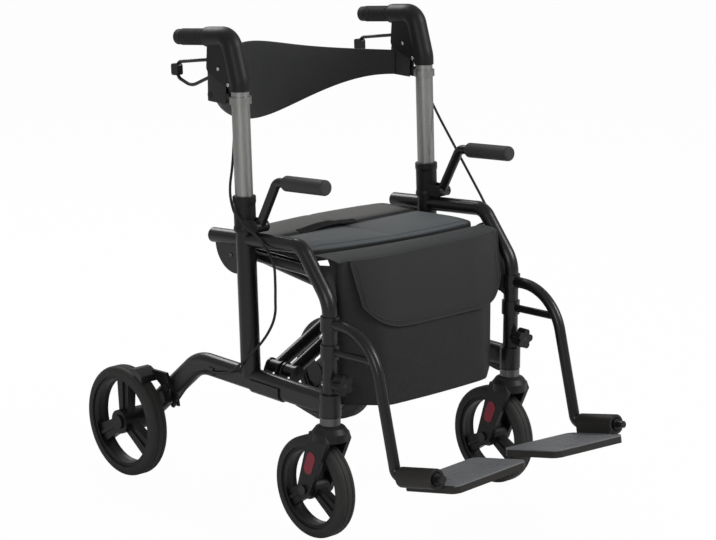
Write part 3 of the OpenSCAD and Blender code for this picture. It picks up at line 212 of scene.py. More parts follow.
# %% Effect: moulded grain
grain, grain_in, grain_out = effect(
    "moulded_grain", [("Scale", "NodeSocketFloat", 900.0)], ["Height", "Tone"])
spot = own_place(grain)
cells = put(grain, "ShaderNodeTexVoronoi", Vector=spot, Scale=grain_in["Scale"])
pits = cells.outputs["Distance"]
swell = noise(grain, spot, times(grain, grain_in["Scale"], 0.4), 3.0)
relief = plus(grain, times(grain, pits, 0.5), times(grain, swell, 0.5))
drift = noise(grain, spot, 14.0, 4.0, 0.6)
grain.links.new(relief, grain_out["Height"])
grain.links.new(drift, grain_out["Tone"])
print("effect:", grain.name)

# %% [markdown]
# Hands, shoes and door frames rub the edges of a chair first, and the paler edge is also a
# painted highlight along them. Cycles' Bevel node gives the normal that a rounded edge would
# have. Where it differs from the true normal, there is an edge.

# %% Effect: rubbed edges with a painted highlight
edges, edges_in, edges_out = effect(
    "rubbed_and_highlit_edges", [("Width", "NodeSocketFloat", 0.001)], ["Mask"])
soft = put(edges, "ShaderNodeBevel", samples=4, Radius=edges_in["Width"]).outputs["Normal"]
true = put(edges, "ShaderNodeNewGeometry").outputs["Normal"]
same = put(edges, "ShaderNodeVectorMath", operation="DOT_PRODUCT", in0=soft, in1=true)
edge = ramp(edges, same.outputs["Value"], 0.99, 0.75)
patchy = noise(edges, own_place(edges), 55.0, 5.0, 0.7)
some = ramp(edges, patchy, 0.42, 0.62)
edges.links.new(times(edges, edge, some), edges_out["Mask"])
print("effect:", edges.name)

# %% [markdown]
# Bag cloth is a plain weave: threads pass over and under in turn. The sines of two directions
# give the round threads, and the sign of their product says which thread is on top. The cloth
# lies in different planes, so each material hands in the two directions as a vector's x and y.

# %% Effect: plain weave
weave, weave_in, weave_out = effect(
    "plain_weave", [("Vector", "NodeSocketVector", None), ("Threads", "NodeSocketFloat", 700.0)],
    ["Height", "Tone"])
parts = split(weave, weave_in["Vector"])
turns = times(weave, weave_in["Threads"], math.pi)
warp = sums(weave, "SINE", times(weave, parts["X"], turns))
weft = sums(weave, "SINE", times(weave, parts["Y"], turns))
over = sums(weave, "GREATER_THAN", times(weave, warp, weft), 0.0)
thread = put(weave, "ShaderNodeMix", data_type="FLOAT", in0=over,
             in2=sums(weave, "ABSOLUTE", warp), in3=sums(weave, "ABSOLUTE", weft)).outputs[0]
slub = noise(weave, weave_in["Vector"], 90.0, 6.0, 0.65)
tone = plus(weave, times(weave, thread, 0.35), times(weave, slub, 0.65))
weave.links.new(thread, weave_out["Height"])
weave.links.new(tone, weave_out["Tone"])
print("effect:", weave.name)

# %% [markdown]
# A little dust settles on what faces up. It makes a black finish slightly paler and duller.

# %% Effect: settled dust
dust, dust_in, dust_out = effect("settled_dust", [("Amount", "NodeSocketFloat", 0.5)], ["Mask"])
up = split(dust, put(dust, "ShaderNodeNewGeometry").outputs["Normal"])["Z"]
flat = ramp(dust, up, 0.35, 1.0)
clouds = noise(dust, own_place(dust), 28.0, 6.0, 0.62)
settled = times(dust, times(dust, flat, clouds), dust_in["Amount"])
dust.links.new(settled, dust_out["Mask"])
print("effects:", [g.name for g in bpy.data.node_groups])

# %% [markdown]
# The hard finishes share one recipe: a base colour that drifts a little, paler edges that are both
# rubbed and a painted highlight, dust on top, and grain as bump and roughness. The numbers set
# powder coat apart from plastic and rubber. Values that are the same all over go straight onto the
# shader's own sockets.

# %% Hard finishes
EDGE_WIDTH, PALE_DUST = 0.0009, (0.3, 0.29, 0.27, 1.0)


def grey(value):
    return (value, value, value, 1.0)


def shade(colour, share):
    """A colour made darker or paler."""
    return [c * share for c in colour] + [1.0]


def hard_finish(name, colour, rough, scale, depth, rub_and_highlight=0.35, worn_and_highlit=None, dusty=0.03, metal=0.0,
                specular=0.2):
    """A painted, moulded or rubber finish. scale and depth set its grain, and the next two its
    paler edges, which are rubbing wear and a painted highlight.
    """
    made, tree, shader = new_material(name)
    shader.inputs["Metallic"].default_value = metal
    shader.inputs["Specular IOR Level"].default_value = specular
    skin = put(tree, "ShaderNodeGroup", node_tree=grain, Scale=scale).outputs
    base = blend_colour(tree, skin["Tone"], shade(colour, 0.8), shade(colour, 1.2))
    rubbed_and_highlit = put(tree, "ShaderNodeGroup", node_tree=edges, Width=EDGE_WIDTH).outputs["Mask"]
    worn_and_highlit = worn_and_highlit or [c * 3 + 0.012 for c in colour] + [1.0]
    # Paler edges: rubbing wear, and a painted highlight along the edges.
    base = blend_colour(tree, times(tree, rubbed_and_highlit, rub_and_highlight), base, worn_and_highlit)
    film = put(tree, "ShaderNodeGroup", node_tree=dust, Amount=dusty).outputs["Mask"]
    tree.links.new(blend_colour(tree, film, base, PALE_DUST), shader.inputs["Base Color"])
    uneven = plus(tree, rough - 0.07, times(tree, skin["Tone"], 0.14))
    tree.links.new(plus(tree, uneven, times(tree, film, 0.4)), shader.inputs["Roughness"])
    bump = put(tree, "ShaderNodeBump", Strength=0.5, Distance=depth, Height=skin["Height"])
    tree.links.new(bump.outputs["Normal"], shader.inputs["Normal"])
    return made


powder_black = hard_finish("powder_black", (0.0085, 0.0083, 0.0085), 0.3, 620, 0.00012,
                           specular=0.42)
moulded_black = hard_finish("moulded_black", (0.0095, 0.0093, 0.0095), 0.44, 1100, 0.00022,
                            specular=0.26)
wheel_black = hard_finish("wheel_black", (0.0085, 0.0085, 0.0088), 0.4, 900, 0.00015,
                          dusty=0.05, specular=0.24)
grip_rubber = hard_finish("grip_rubber", (0.026, 0.026, 0.0266), 0.62, 1500, 0.0003,
                          rub_and_highlight=0.15, specular=0.16)
foam_black = hard_finish("foam_black", (0.042, 0.0425, 0.0433), 0.58, 1900, 0.0004, rub_and_highlight=0.1)
tyre_rubber = hard_finish("tyre_rubber", (0.032, 0.0317, 0.031), 0.58, 1300, 0.0003, rub_and_highlight=0.25,
                          dusty=0.08, worn_and_highlit=grey(0.035), specular=0.16)
deck_plastic = hard_finish("deck_plastic", (0.165, 0.17, 0.18), 0.48, 1000, 0.0003, dusty=0.05,
                           worn_and_highlit=grey(0.2))
bush_plastic = hard_finish("bush_plastic", (0.024, 0.022, 0.021), 0.46, 1200, 0.0002)
inlay_red = hard_finish("inlay_red", (0.21, 0.012, 0.027), 0.34, 1000, 0.0001, rub_and_highlight=0.2,
                        worn_and_highlit=(0.45, 0.09, 0.11, 1.0), specular=0.35)
dark_steel = hard_finish("dark_steel", (0.12, 0.12, 0.125), 0.34, 1400, 0.00006, metal=0.9,
                         worn_and_highlit=grey(0.4))
bright_steel = hard_finish("bright_steel", (0.55, 0.55, 0.54), 0.28, 1400, 0.00005, metal=1.0,
                           worn_and_highlit=grey(0.7), dusty=0.02)
print("hard finishes made, from", powder_black.name, "to", bright_steel.name)

# %% [markdown]
# The telescoping handle tubes are drawn aluminium, anodised silver. Drawing leaves faint lines
# along the tube, so noise is stretched along z with a Mapping node, for roughness and tone.

# %% Silver tube
DARK_SILVER, PALE_SILVER = (0.28, 0.279, 0.27, 1.0), (0.4, 0.398, 0.386, 1.0)
silver_tube, tree, shader = new_material("silver_tube")
shader.inputs["Metallic"].default_value = 1.0
spot = own_place(tree)
drawn = put(tree, "ShaderNodeMapping", Vector=spot, Scale=(900.0, 900.0, 6.0)).outputs["Vector"]
lines = noise(tree, drawn, 1.0, 3.0)
haze = noise(tree, spot, 22.0, 4.0)
silver = blend_colour(tree, lines, DARK_SILVER, PALE_SILVER)
tree.links.new(silver, shader.inputs["Base Color"])
dull = plus(tree, 0.26, times(tree, haze, 0.12))
tree.links.new(plus(tree, times(tree, lines, 0.14), dull), shader.inputs["Roughness"])
relief = put(tree, "ShaderNodeBump", Strength=0.25, Distance=0.00004, Height=lines)
tree.links.new(relief.outputs["Normal"], shader.inputs["Normal"])
print("silver tube: drawn lines along z")

# %% [markdown]
# The cloths are the seat's coated slate fabric, the bag's coarser charcoal weave and the strap's
# cover, with webbing, binding and thread beside them. A cloth has sheen at grazing angles, a weave
# as bump, and a tone that follows the yarns. The bag hangs upright, so a Mapping node turns the
# weave into its plane. A zone lets the seat's cover change: paler on the rear roll, and darker
# with painted shade at the sides and under its edge.

# %% Cloth finishes
CLOTH_DUST = (0.24, 0.24, 0.23, 1.0)


def cloth_finish(name, colour, rough, threads, depth, upright, sheen, specular=0.16, crease=0.0,
                 zones=()):
    """A woven cover, upright where it lies in the x-z plane. A zone: axis, from, to, colour."""
    made, tree, shader = new_material(name)
    shader.inputs["Specular IOR Level"].default_value = specular
    shader.inputs["Sheen Weight"].default_value = sheen
    shader.inputs["Sheen Roughness"].default_value = 0.45
    spot = own_place(tree)
    turned = put(tree, "ShaderNodeMapping", Vector=spot,
                 Rotation=(math.pi / 2 if upright else 0.0, 0.0, 0.0)).outputs["Vector"]
    yarns = put(tree, "ShaderNodeGroup", node_tree=weave, Vector=turned, Threads=threads).outputs
    base = blend_colour(tree, yarns["Tone"], shade(colour, 0.72), shade(colour, 1.28))
    place = split(tree, spot)
    for axis, start, end, other in zones:
        along = sums(tree, "ABSOLUTE", place["X"]) if axis == "X" else place[axis]
        base = blend_colour(tree, ramp(tree, along, start, end, top=0.9), base, other)
    film = put(tree, "ShaderNodeGroup", node_tree=dust, Amount=0.03).outputs["Mask"]
    tree.links.new(blend_colour(tree, film, base, CLOTH_DUST), shader.inputs["Base Color"])
    uneven = plus(tree, rough - 0.08, times(tree, yarns["Tone"], 0.16))
    tree.links.new(uneven, shader.inputs["Roughness"])
    folds = noise(tree, spot, 9.0, 2.0)
    creased = put(tree, "ShaderNodeBump", Strength=crease, Distance=0.006, Height=folds)
    bump = put(tree, "ShaderNodeBump", Strength=0.6, Distance=depth, Height=yarns["Height"],
               Normal=creased.outputs["Normal"])
    tree.links.new(bump.outputs["Normal"], shader.inputs["Normal"])
    return made


rear_roll = ("Y", LEG_Y + 0.208, LEG_Y + 0.216, (0.112, 0.109, 0.104, 1.0))
# Painted shade: the cover darkens at its sides and turns nearly black under its front edge.
painted_side_shade = ("X", 0.164, 0.184, (0.028, 0.03, 0.032, 1.0))
painted_edge_shade = ("Z", 0.481, 0.478, (0.005, 0.005, 0.0055, 1.0))
seat_cloth = cloth_finish("seat_cloth", (0.088, 0.097, 0.102), 0.5, 620, 0.00018, False, 0.06,
                          crease=0.12, zones=[rear_roll, painted_side_shade, painted_edge_shade])
strip_cloth = cloth_finish("strip_cloth", (0.031, 0.0325, 0.034), 0.5, 620, 0.00018, False, 0.06,
                           crease=0.12)
bag_cloth = cloth_finish("bag_cloth", (0.0225, 0.0223, 0.0227), 0.64, 480, 0.00035, True, 0.05,
                         crease=0.35)
flap_cloth = cloth_finish("flap_cloth", (0.0275, 0.0275, 0.0282), 0.6, 480, 0.0003, True, 0.06,
                          crease=0.2)
strap_cloth = cloth_finish("strap_cloth", (0.028, 0.0285, 0.0298), 0.6, 560, 0.0003, True, 0.06,
                           crease=0.15)
webbing = cloth_finish("webbing", (0.005, 0.005, 0.0052), 0.7, 420, 0.0005, False, 0.02,
                       specular=0.1)
binding = cloth_finish("binding", (0.03, 0.03, 0.031), 0.6, 800, 0.0002, False, 0.06)
thread_grey = hard_finish("thread_grey", (0.055, 0.056, 0.058), 0.6, 2400, 0.0001, rub_and_highlight=0.0)
print("cloths made, from", seat_cloth.name, "to", thread_grey.name)

# %% [markdown]
# The back strap's bracket is a clamp of bright aluminium round the tube with a black arm behind
# it. It is one CAD piece, so its material turns from one finish to the other just behind the tube.

# %% Two-tone bracket
TURN_Y, CLAMP_COLOUR = LEG_Y + 0.2405, (0.34, 0.338, 0.328, 1.0)
bracket_finish = moulded_black.copy()
bracket_finish.name = "bracket_finish"
tree = bracket_finish.node_tree
shader = tree.nodes["Principled BSDF"]
clamp = ramp(tree, split(tree, own_place(tree))["Y"], TURN_Y + 0.001, TURN_Y - 0.001)
painted = shader.inputs["Base Color"].links[0].from_socket
dull = shader.inputs["Roughness"].links[0].from_socket
tree.links.new(blend_colour(tree, clamp, painted, CLAMP_COLOUR), shader.inputs["Base Color"])
tree.links.new(clamp, shader.inputs["Metallic"])
polished = sums(tree, "SUBTRACT", dull, times(tree, clamp, 0.12))
tree.links.new(polished, shader.inputs["Roughness"])
print("bracket finish turns at y", round(TURN_Y, 4))

# %% [markdown]
# A footplate is one CAD piece too: a grey ribbed deck on a dark moulding with the hinge's barrel.
# The record's mount gives the deck's plane. What lies off that plane and its grooves is moulding.

# %% Two-tone footplate
GROOVE_MIDDLE, MOULDING_COLOUR = 0.0006, (0.026, 0.0242, 0.023, 1.0)
tree = deck_plastic.node_tree
shader = tree.nodes["Principled BSDF"]
mount = next(m for m in frame["record"]["mounts"] if m["name"] == "foot_deck_left")
level = Vector(mount["axis"]).dot(Vector(mount["pos_m"]))
place = split(tree, own_place(tree))
outward = sums(tree, "ABSOLUTE", place["X"])
mirrored = put(tree, "ShaderNodeCombineXYZ", X=outward, Y=place["Y"], Z=place["Z"])
height = put(tree, "ShaderNodeVectorMath", operation="DOT_PRODUCT",
             in0=mirrored.outputs["Vector"], in1=mount["axis"]).outputs["Value"]
apart = sums(tree, "ABSOLUTE", sums(tree, "SUBTRACT", height, level - GROOVE_MIDDLE))
off_deck = ramp(tree, apart, 0.001, 0.0016)
barrel = ramp(tree, outward, 0.196, 0.198)
dark = sums(tree, "MAXIMUM", off_deck, barrel)
painted = shader.inputs["Base Color"].links[0].from_socket
two_tone = blend_colour(tree, dark, painted, MOULDING_COLOUR)
tree.links.new(two_tone, shader.inputs["Base Color"])
print("deck plane", round(level, 4), "m along its normal")

# %% [markdown]
# Every CAD node keeps its shape and takes a finish by its name. Its slots are emptied and filled
# again, and its vertices are left alone, because the motion model shares them.

# %% Finishes of the CAD pieces
finishes = [
    (powder_black, "front_leg handle_post lower_rail arm_tube footrest_hanger cross_brace"),
    (powder_black, "brake_arm brake_lever front_axle"),
    (moulded_black, "rear_axle post_collar handle_housing caster_fork lock_knob"),
    (bracket_finish, "backrest_bracket"), (wheel_black, "rear_rim front_rim"),
    (tyre_rubber, "rear_tyre front_tyre"), (grip_rubber, "handle_grip brake_cable"),
    (foam_black, "arm_pad"), (silver_tube, "handle_tube"), (dark_steel, "caster_housing"),
    (bright_steel, "brace_pin"), (inlay_red, "fork_inlay"), (bush_plastic, "hinge_bush"),
    (deck_plastic, "footplate"), (seat_cloth, "seat_panel"), (bag_cloth, "bag"),
    (strap_cloth, "backrest"),
]
finish_of = {kind: finish for finish, kinds in finishes for kind in kinds.split()}
for name, node in frame["nodes"].items():
    kind = max((k for k in finish_of if name.startswith(k)), key=len)
    node.data.materials.clear()
    node.data.materials.append(finish_of[kind])
print("finished", len(frame["nodes"]), "CAD pieces with", len(set(finish_of.values())), "finishes")

# %% [markdown]
# New pieces are small bmesh jobs. These helpers put a finished bmesh into the scene, draw a tube
# along points by growing one circle from point to point, spin a profile into a round part, and bend
# a flat grid into a sheet of cloth with a thickness.

# %% Modelling helpers
def piece(name, bm, finish, body=None, angle=40):
    """Makes an object of a bmesh, at the origin, with a finish, and lets it ride on a body."""
    mesh = bpy.data.meshes.new(name)
    bm.to_mesh(mesh)
    bm.free()
    mesh.materials.append(finish)
    mesh.shade_smooth()
    mesh.set_sharp_from_angle(angle=math.radians(angle))
    made = bpy.data.objects.new(name, mesh)
    scene.collection.objects.link(made)
    if body:
        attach(made, body)
    return made


def gather(whole, part):
    """Adds the bmesh part to the bmesh whole."""
    mesh = bpy.data.meshes.new("part")
    part.to_mesh(mesh)
    part.free()
    whole.from_mesh(mesh)
    bpy.data.meshes.remove(mesh)


def frames_along(points):
    """A turned frame at each point, its z along the way, without twist."""
    side, made = Vector((1, 0, 0.01)), []
    for i, point in enumerate(points):
        ahead = (points[min(i + 1, len(points) - 1)] - points[max(i - 1, 0)]).normalized()
        side = (side - ahead * side.dot(ahead)).normalized()
        turn = Matrix((side, ahead.cross(side), ahead)).transposed().to_4x4()
        made.append(Matrix.Translation(point) @ turn)
    return made


def grow(bm, ring):
    """Extrudes a ring of edges. Gives its new vertices, still in place, and the new ring."""
    grown = bmesh.ops.extrude_edge_only(bm, edges=ring)["geom"]
    fresh = [g for g in grown if isinstance(g, bmesh.types.BMVert)]
    ring = [g for g in grown
            if isinstance(g, bmesh.types.BMEdge) and all(v in fresh for v in g.verts)]
    return fresh, ring


def tube(points, radius, sides=10, widths=None):
    """A tube along points: one circle, extruded from point to point. widths scales each ring."""
    bm = bmesh.new()
    stops = frames_along(points)
    widths = widths or [1.0] * len(points)
    stops = [stop @ Matrix.Diagonal((w, w, w, 1)) for stop, w in zip(stops, widths)]
    bmesh.ops.create_circle(bm, segments=sides, radius=radius, matrix=stops[0])
    ring = list(bm.edges)
    for here, there in zip(stops, stops[1:]):
        fresh, ring = grow(bm, ring)
        bmesh.ops.transform(bm, matrix=there @ here.inverted(), verts=fresh)
    bmesh.ops.holes_fill(bm, edges=bm.edges, sides=0)
    bmesh.ops.recalc_face_normals(bm, faces=bm.faces)
    return bm


def spun(profile, at, way, steps=24):
    """A round part: the profile of (radius, height) spun about way, standing at a point."""
    bm = bmesh.new()
    line = [bm.verts.new((r / 1000, 0, h / 1000)) for r, h in profile]
    joined = [bm.edges.new(pair) for pair in zip(line, line[1:])]
    bmesh.ops.spin(bm, geom=line + joined, cent=(0, 0, 0), axis=(0, 0, 1), angle=2 * math.pi,
                   steps=steps, use_merge=True)
    bmesh.ops.remove_doubles(bm, verts=bm.verts, dist=1e-6)
    bmesh.ops.recalc_face_normals(bm, faces=bm.faces)
    turn = Vector(way).to_track_quat("Z", "Y").to_matrix().to_4x4()
    bmesh.ops.transform(bm, matrix=Matrix.Translation(at) @ turn, verts=bm.verts)
    return bm


def bent_sheet(place, columns, rows, thickness):
    """A grid bent to the points place(u, v), with u and v from -1 to 1, and its flat area."""
    bm = bmesh.new()
    bmesh.ops.create_grid(bm, x_segments=columns, y_segments=rows, size=1.0)
    for v in bm.verts:
        v.co = place(v.co.x, v.co.y)
    bmesh.ops.recalc_face_normals(bm, faces=bm.faces)
    area = sum(f.calc_area() for f in bm.faces)
    bmesh.ops.solidify(bm, geom=bm.faces, thickness=thickness)
    return bm, area


def rounded(bm, edges, offset, segments):
    bmesh.ops.bevel(bm, geom=edges, offset=offset, affect="EDGES", segments=segments, profile=0.5,
                    material=-1)


def within(value, low=0.0, high=1.0):
    """The value, kept between two limits."""
    return max(low, min(high, value))


print("modelling helpers ready")

# %% [markdown]
# The brake cables are the chair's only cords. Each leaves its handle, hangs free beside the post,
# and is held along the lower rail to the brake's adjuster. A cable is stiff, so it keeps wide
# bends. The route's points are those of the CAD solid, joined by the same smooth curve, and a
# short stretch into the handle's boot is added.

# %% Cable routes
def smooth_route(points, share=6):
    """A smooth curve through the points (each between its neighbours' slopes)."""
    made = []
    for i in range(len(points) - 1):
        a, b = points[max(i - 1, 0)], points[i]
        c, d = points[i + 1], points[min(i + 2, len(points) - 1)]
        for step in range(share):
            f = step / share
            made.append(b + (c - a) * (f / 2) + (a - b * 2.5 + c * 2 - d / 2) * f ** 2
                        + ((b - c) * 1.5 + (d - a) / 2) * f ** 3)
    return made + [points[-1]]


rear_run = [(23, 217.5, 262), (20, 250, 244), (17, 300, 233), (17, 336, 222), (16, 368, 190),
            (14, 392, 165), (14, 400, 157)]
left_run = [(14, 241.5, 737), (14.5, 242, 726), (15, 240, 700), (17, 233, 680), (19, 222, 664),
            (19, 203, 640), (19, 168, 599), (19, 140, 566), (19, 113.6, 535), (18, 93, 512),
            (17, 76, 490), (17, 78, 472), (17, 100, 461), (16, 124, 442), (16, 132, 410),
            (16, 134, 376), (17, 142, 350), (20, 164, 316), (23, 194, 283)]
right_run = [(-7.5, 245.5, 737), (-8, 246, 724.2), (-3, 244.8, 694.8), (2, 243.2, 640.6),
             (7, 242, 604.4), (14, 238.5, 580.7), (19.5, 232, 561.5), (23, 222, 543.4),
             (23.5, 213, 532.1), (20, 190, 514), (17, 163, 499), (16, 138, 480), (16, 123, 458),
             (16, 120, 430), (16, 120, 400), (16, 121, 376), (17, 131, 350), (19, 155, 318),
             (23, 190, 284)]
routes = {"r": [mm(-SIDE_MM - x, y, z) for x, y, z in right_run + rear_run],
          "l": [mm(SIDE_MM + x, y, z) for x, y, z in left_run + rear_run]}
print("cable points:", len(routes["r"]), len(routes["l"]))

# %% Brake cables
SIDES = {"r": (-1, "right"), "l": (1, "left")}
CABLE_D, BOOT_SINK = 0.0046, Vector((0, 0, 0.0065))
boot_profile = [(0, 0), (2.7, 0), (2.8, 2), (3.4, 4), (3.4, 5), (3.0, 5.6), (3.6, 7), (3.6, 8),
                (3.2, 8.6), (4.2, 10.5), (4.4, 15), (3.6, 16.5), (0, 16.5)]
for side, (_, word) in SIDES.items():
    way = smooth_route(routes[side])
    cable = piece(f"brake_cable_sheath_{side}", tube(way, CABLE_D / 2), grip_rubber)
    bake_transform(cable)
    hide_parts(f"brake_cable_{side}")
    boot = piece(f"cable_boot_{side}", spun(boot_profile, way[0] - BOOT_SINK, (0, 0.04, 1)),
                 grip_rubber, f"handle_{word}")

# %% [markdown]
# The seat is two stuffed panels in one coated cover, with a sewn fold line in the middle so that
# it can fold upwards. A box would look like a plank, so a slightly smaller shell is remeshed into
# an even skin and blown up by cloth pressure, with the sewn lines and the underside pinned. The
# movement is capped. The seams are pressed in afterwards, since remeshing would wipe them out.

# %% Stuffing by cloth pressure
SIM_STEPS = 20


def baked(thing):
    """A new mesh of the object as its modifiers make it. The modifiers go."""
    mesh = bpy.data.meshes.new_from_object(
        thing.evaluated_get(bpy.context.evaluated_depsgraph_get()))
    thing.modifiers.clear()
    return mesh


def stuffed(name, bm, held, voxel, pressure, cap):
    """Blows up the shell bm like a stuffed cover. held(point) says which points are sewn down."""
    mesh = bpy.data.meshes.new(name)
    bm.to_mesh(mesh)
    bm.free()
    made = bpy.data.objects.new(name, mesh)
    scene.collection.objects.link(made)
    skin = made.modifiers.new("even_skin", "REMESH")
    skin.mode, skin.voxel_size = "VOXEL", voxel
    even = made.data = baked(made)
    rest = [v.co.copy() for v in even.vertices]
    sewn = made.vertex_groups.new(name="sewn")
    sewn.add([i for i, co in enumerate(rest) if held(co)], 1.0, "REPLACE")
    cloth = made.modifiers.new("stuffing", "CLOTH")
    cloth.settings.vertex_group_mass = "sewn"
    cloth.settings.use_pressure = True
    cloth.settings.uniform_pressure_force = pressure
    cloth.settings.effector_weights.gravity = 0
    for step in range(1, SIM_STEPS + 1):
        scene.frame_set(step)
    blown = baked(made)
    made.vertex_groups.clear()
    for v, old, new in zip(even.vertices, rest, blown.vertices):
        move = new.co - old
        v.co = old + move * min(1.0, cap / max(move.length, 1e-9))
    bpy.data.meshes.remove(blown)
    scene.frame_set(1)
    finer = made.modifiers.new("finer", "SUBSURF")
    finer.levels = finer.render_levels = 1
    made.data = baked(made)
    made.data.shade_smooth()
    return made


print("stuffing runs for", SIM_STEPS, "steps")

# %% Seat shell
SEAT_LOW, SEAT_EDGE, SEAT_TOP = 461.4, 479.3, 496
SEAT_X, SEAT_FRONT, SEAT_BACK, SEAM_Y = 191, 58.4, 305, 212
BOW_RIGHT, BOW_FROM, BOW_SPAN, BOW_CORNERS = 27, 60, 212, 8
CORNER_R, RIM_R = 0.016, 0.005


def bow(x):
    """How far the seat's front edge draws back from its foremost line, most at the right end."""
    lag = BOW_RIGHT * (max(0.0, BOW_FROM - x) / BOW_SPAN) ** 1.5
    return lag + BOW_CORNERS * abs(x / SEAT_X) ** 6


def sewn_down(co):
    """The underside, the fold line and the rear seam are held."""
    y = (co.y - LEG_Y) * 1000
    return co.z < (SEAT_LOW + 3) / 1000 or abs(co.x) < 0.003 or abs(y - SEAM_Y) < 3


shell = bmesh.new()
bmesh.ops.create_cube(shell, size=1.0)
wide, deep, thick = 2 * SEAT_X - 5, SEAT_BACK - SEAT_FRONT - 4, 15.5
bmesh.ops.scale(shell, vec=(wide / 1000, deep / 1000, thick / 1000), verts=shell.verts)
middle = mm(0, (SEAT_FRONT + SEAT_BACK) / 2, SEAT_LOW + 8.2)
bmesh.ops.translate(shell, vec=middle, verts=shell.verts)
corners = [e for e in shell.edges if abs(e.verts[0].co.z - e.verts[1].co.z) > 0.01]
rounded(shell, corners, CORNER_R, 5)
rims = [e for e in shell.edges
        if abs(e.verts[0].co.z - e.verts[1].co.z) < 1e-6 and e.calc_face_angle(0) > 1]
rounded(shell, rims, RIM_R, 3)
seat = stuffed("seat", shell, sewn_down, voxel=0.005, pressure=4.0, cap=0.009)
seat.data.materials.append(seat_cloth)
print("seat blown up,", len(seat.data.vertices), "points")

# %% [markdown]
# Now the seams go in: the fold line, the rear seam, and a soft roll along the back edge, which is
# fuller in the middle. The front edge stands up and bows forward between its corners. The underside
# is flat where it rests on the seat tubes, and nothing leaves the room between the posts.

# %% Seat seams
for v in seat.data.vertices:
    x, y, z = v.co.x * 1000, (v.co.y - LEG_Y) * 1000, v.co.z * 1000
    top = within((z - SEAT_LOW - 4) / 8)
    across = max(0.0, 1 - (x / SEAT_X) ** 2)
    inward = y - SEAT_FRONT
    fold_line = 0.8 * math.exp(-(x / 6) ** 2)
    rear_seam = 2.4 * math.exp(-((y - SEAM_Y) / 4.5) ** 2)
    back_roll = 5.5 * across * within((y - SEAM_Y - 8) / 60)
    crown = 2.0 * across * math.sin(math.pi * within(inward / (SEAM_Y - SEAT_FRONT)))
    front_lip = 5.5 * max(0.0, 1 - inward / 150)
    z += top * (back_roll + crown + front_lip - fold_line - rear_seam)
    y += bow(x) * max(0.0, 1 - inward / 110)
    pulled_in = 1.6 * math.cos(math.pi * (y - 181) / 250) if abs(x) > 180 else 0.0
    x = within(x - math.copysign(max(pulled_in, 0), x), -SEAT_X, SEAT_X)
    v.co = mm(x, within(y, SEAT_FRONT, SEAT_BACK + 2), within(z, SEAT_LOW, SEAT_TOP))
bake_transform(seat)
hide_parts("seat_panel_r", "seat_panel_l")
print("seat top", round(max(v.co.z for v in seat.data.vertices), 4))

# %% [markdown]
# A stitch is a short thread that dips into the cloth at both ends. A tube of five sides, thin at
# its ends, does for all of them, laid along a line at a steady pitch. To lie on the cloth, the
# stitches ask the finished mesh for its height with a ray.

# %% Stitch lines
def stitches(line, outward, pitch=0.006, radius=0.00055):
    """Threads along a line of points, lying just proud of the cloth on its outward side."""
    whole, walk = bmesh.new(), 0.0
    for a, b in zip(line, line[1:]):
        span = (b - a).length
        while walk < span:
            start, ahead = a + (b - a) * (walk / span), (b - a).normalized()
            end, lift = start + ahead * pitch * 0.66, Vector(outward) * radius
            middle, reach = (start + end) / 2 + lift, ahead * pitch * 0.2
            knots = [start - lift, middle - reach, middle + reach, end - lift]
            gather(whole, tube(knots, radius, sides=5, widths=[0.5, 1, 1, 0.5]))
            walk += pitch
        walk -= span
    return whole


def drop_on(cover, x, y):
    """The point of the cover's top under a place of the drawing."""
    hit, point, _, _ = cover.ray_cast(mm(x, y, 900), Vector((0, 0, -1)))
    return point if hit else mm(x, y, SEAT_EDGE)


FRONT_HEM, BESIDE = 70, 8
bpy.context.view_layer.update()
seams = bmesh.new()
for y in (SEAM_Y - BESIDE, SEAM_Y + BESIDE):
    gather(seams, stitches([drop_on(seat, x, y) for x in range(-180, 181, 6)], (0, 0, 1)))
front_line = [drop_on(seat, x, FRONT_HEM + bow(x)) for x in range(-172, 173, 6)]
gather(seams, stitches(front_line, (0, 0, 1)))
seat_thread = piece("seat_stitching", seams, thread_grey)
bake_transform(seat_thread)
print("seat stitching faces", len(seat_thread.data.polygons))

# %% [markdown]
# A pull strap of black webbing is sewn on the rear seam. One hand on it lifts the seat to fold
# the chair. It is a ribbon: a grid bent over the seat and given a thickness.

# %% Pull strap
PULL_X, PULL_HALF, PULL_WIDE = -24, 66, 12


def pull_point(u, v):
    """A point of the strap: u along it and v across it."""
    x, y = PULL_X + PULL_HALF * u, SEAM_Y + 4 + PULL_WIDE * v
    rise = 1.2 + 5.5 * max(0.0, 1 - (u / 0.86) ** 2) ** 1.2
    return mm(x, y, drop_on(seat, x, y).z * 1000 + rise)


strip, _ = bent_sheet(pull_point, 28, 4, 0.0018)
pull = piece("seat_pull_strap", strip, webbing)
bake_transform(pull)
print("pull strap faces", len(pull.data.polygons))

# %% [markdown]
# The back strap is a padded band between the handles. It hangs in a bow behind the sitter, low in
# the middle and narrow at its ends, and soft enough to hang a little to one side. A flat grid is
# bent into that bow, gets a thickness, and is then crowned: the middle of each face moves outward
# while the hems stay thin.

# %% Back strap
STRAP_X, STRAP_Y, STRAP_Z, STRAP_BOW, STRAP_END = 209.6, 297.8, 735.1, 122, 22
STRAP_THICK, HEM_IN = 0.005, 11


def strap_shape(w):
    """(middle y, middle z, half height) of the strap at w from -1 to 1."""
    free = 1 - w ** 8
    top = STRAP_Z + STRAP_END + 28 * math.exp(-((w + 0.25) / 0.62) ** 2) * free
    low = STRAP_Z - STRAP_END - 34.5 * (1 + math.cos(math.pi * (w + 0.1) / 1.15)) * free
    return STRAP_Y + STRAP_BOW * (1 - w * w), (top + low) / 2, (top - low) / 2


def strap_point(w, h):
    """A point of the flat band: w along it, h up it."""
    y, z, half = strap_shape(w)
    return mm(STRAP_X * w, y, z + half * h)


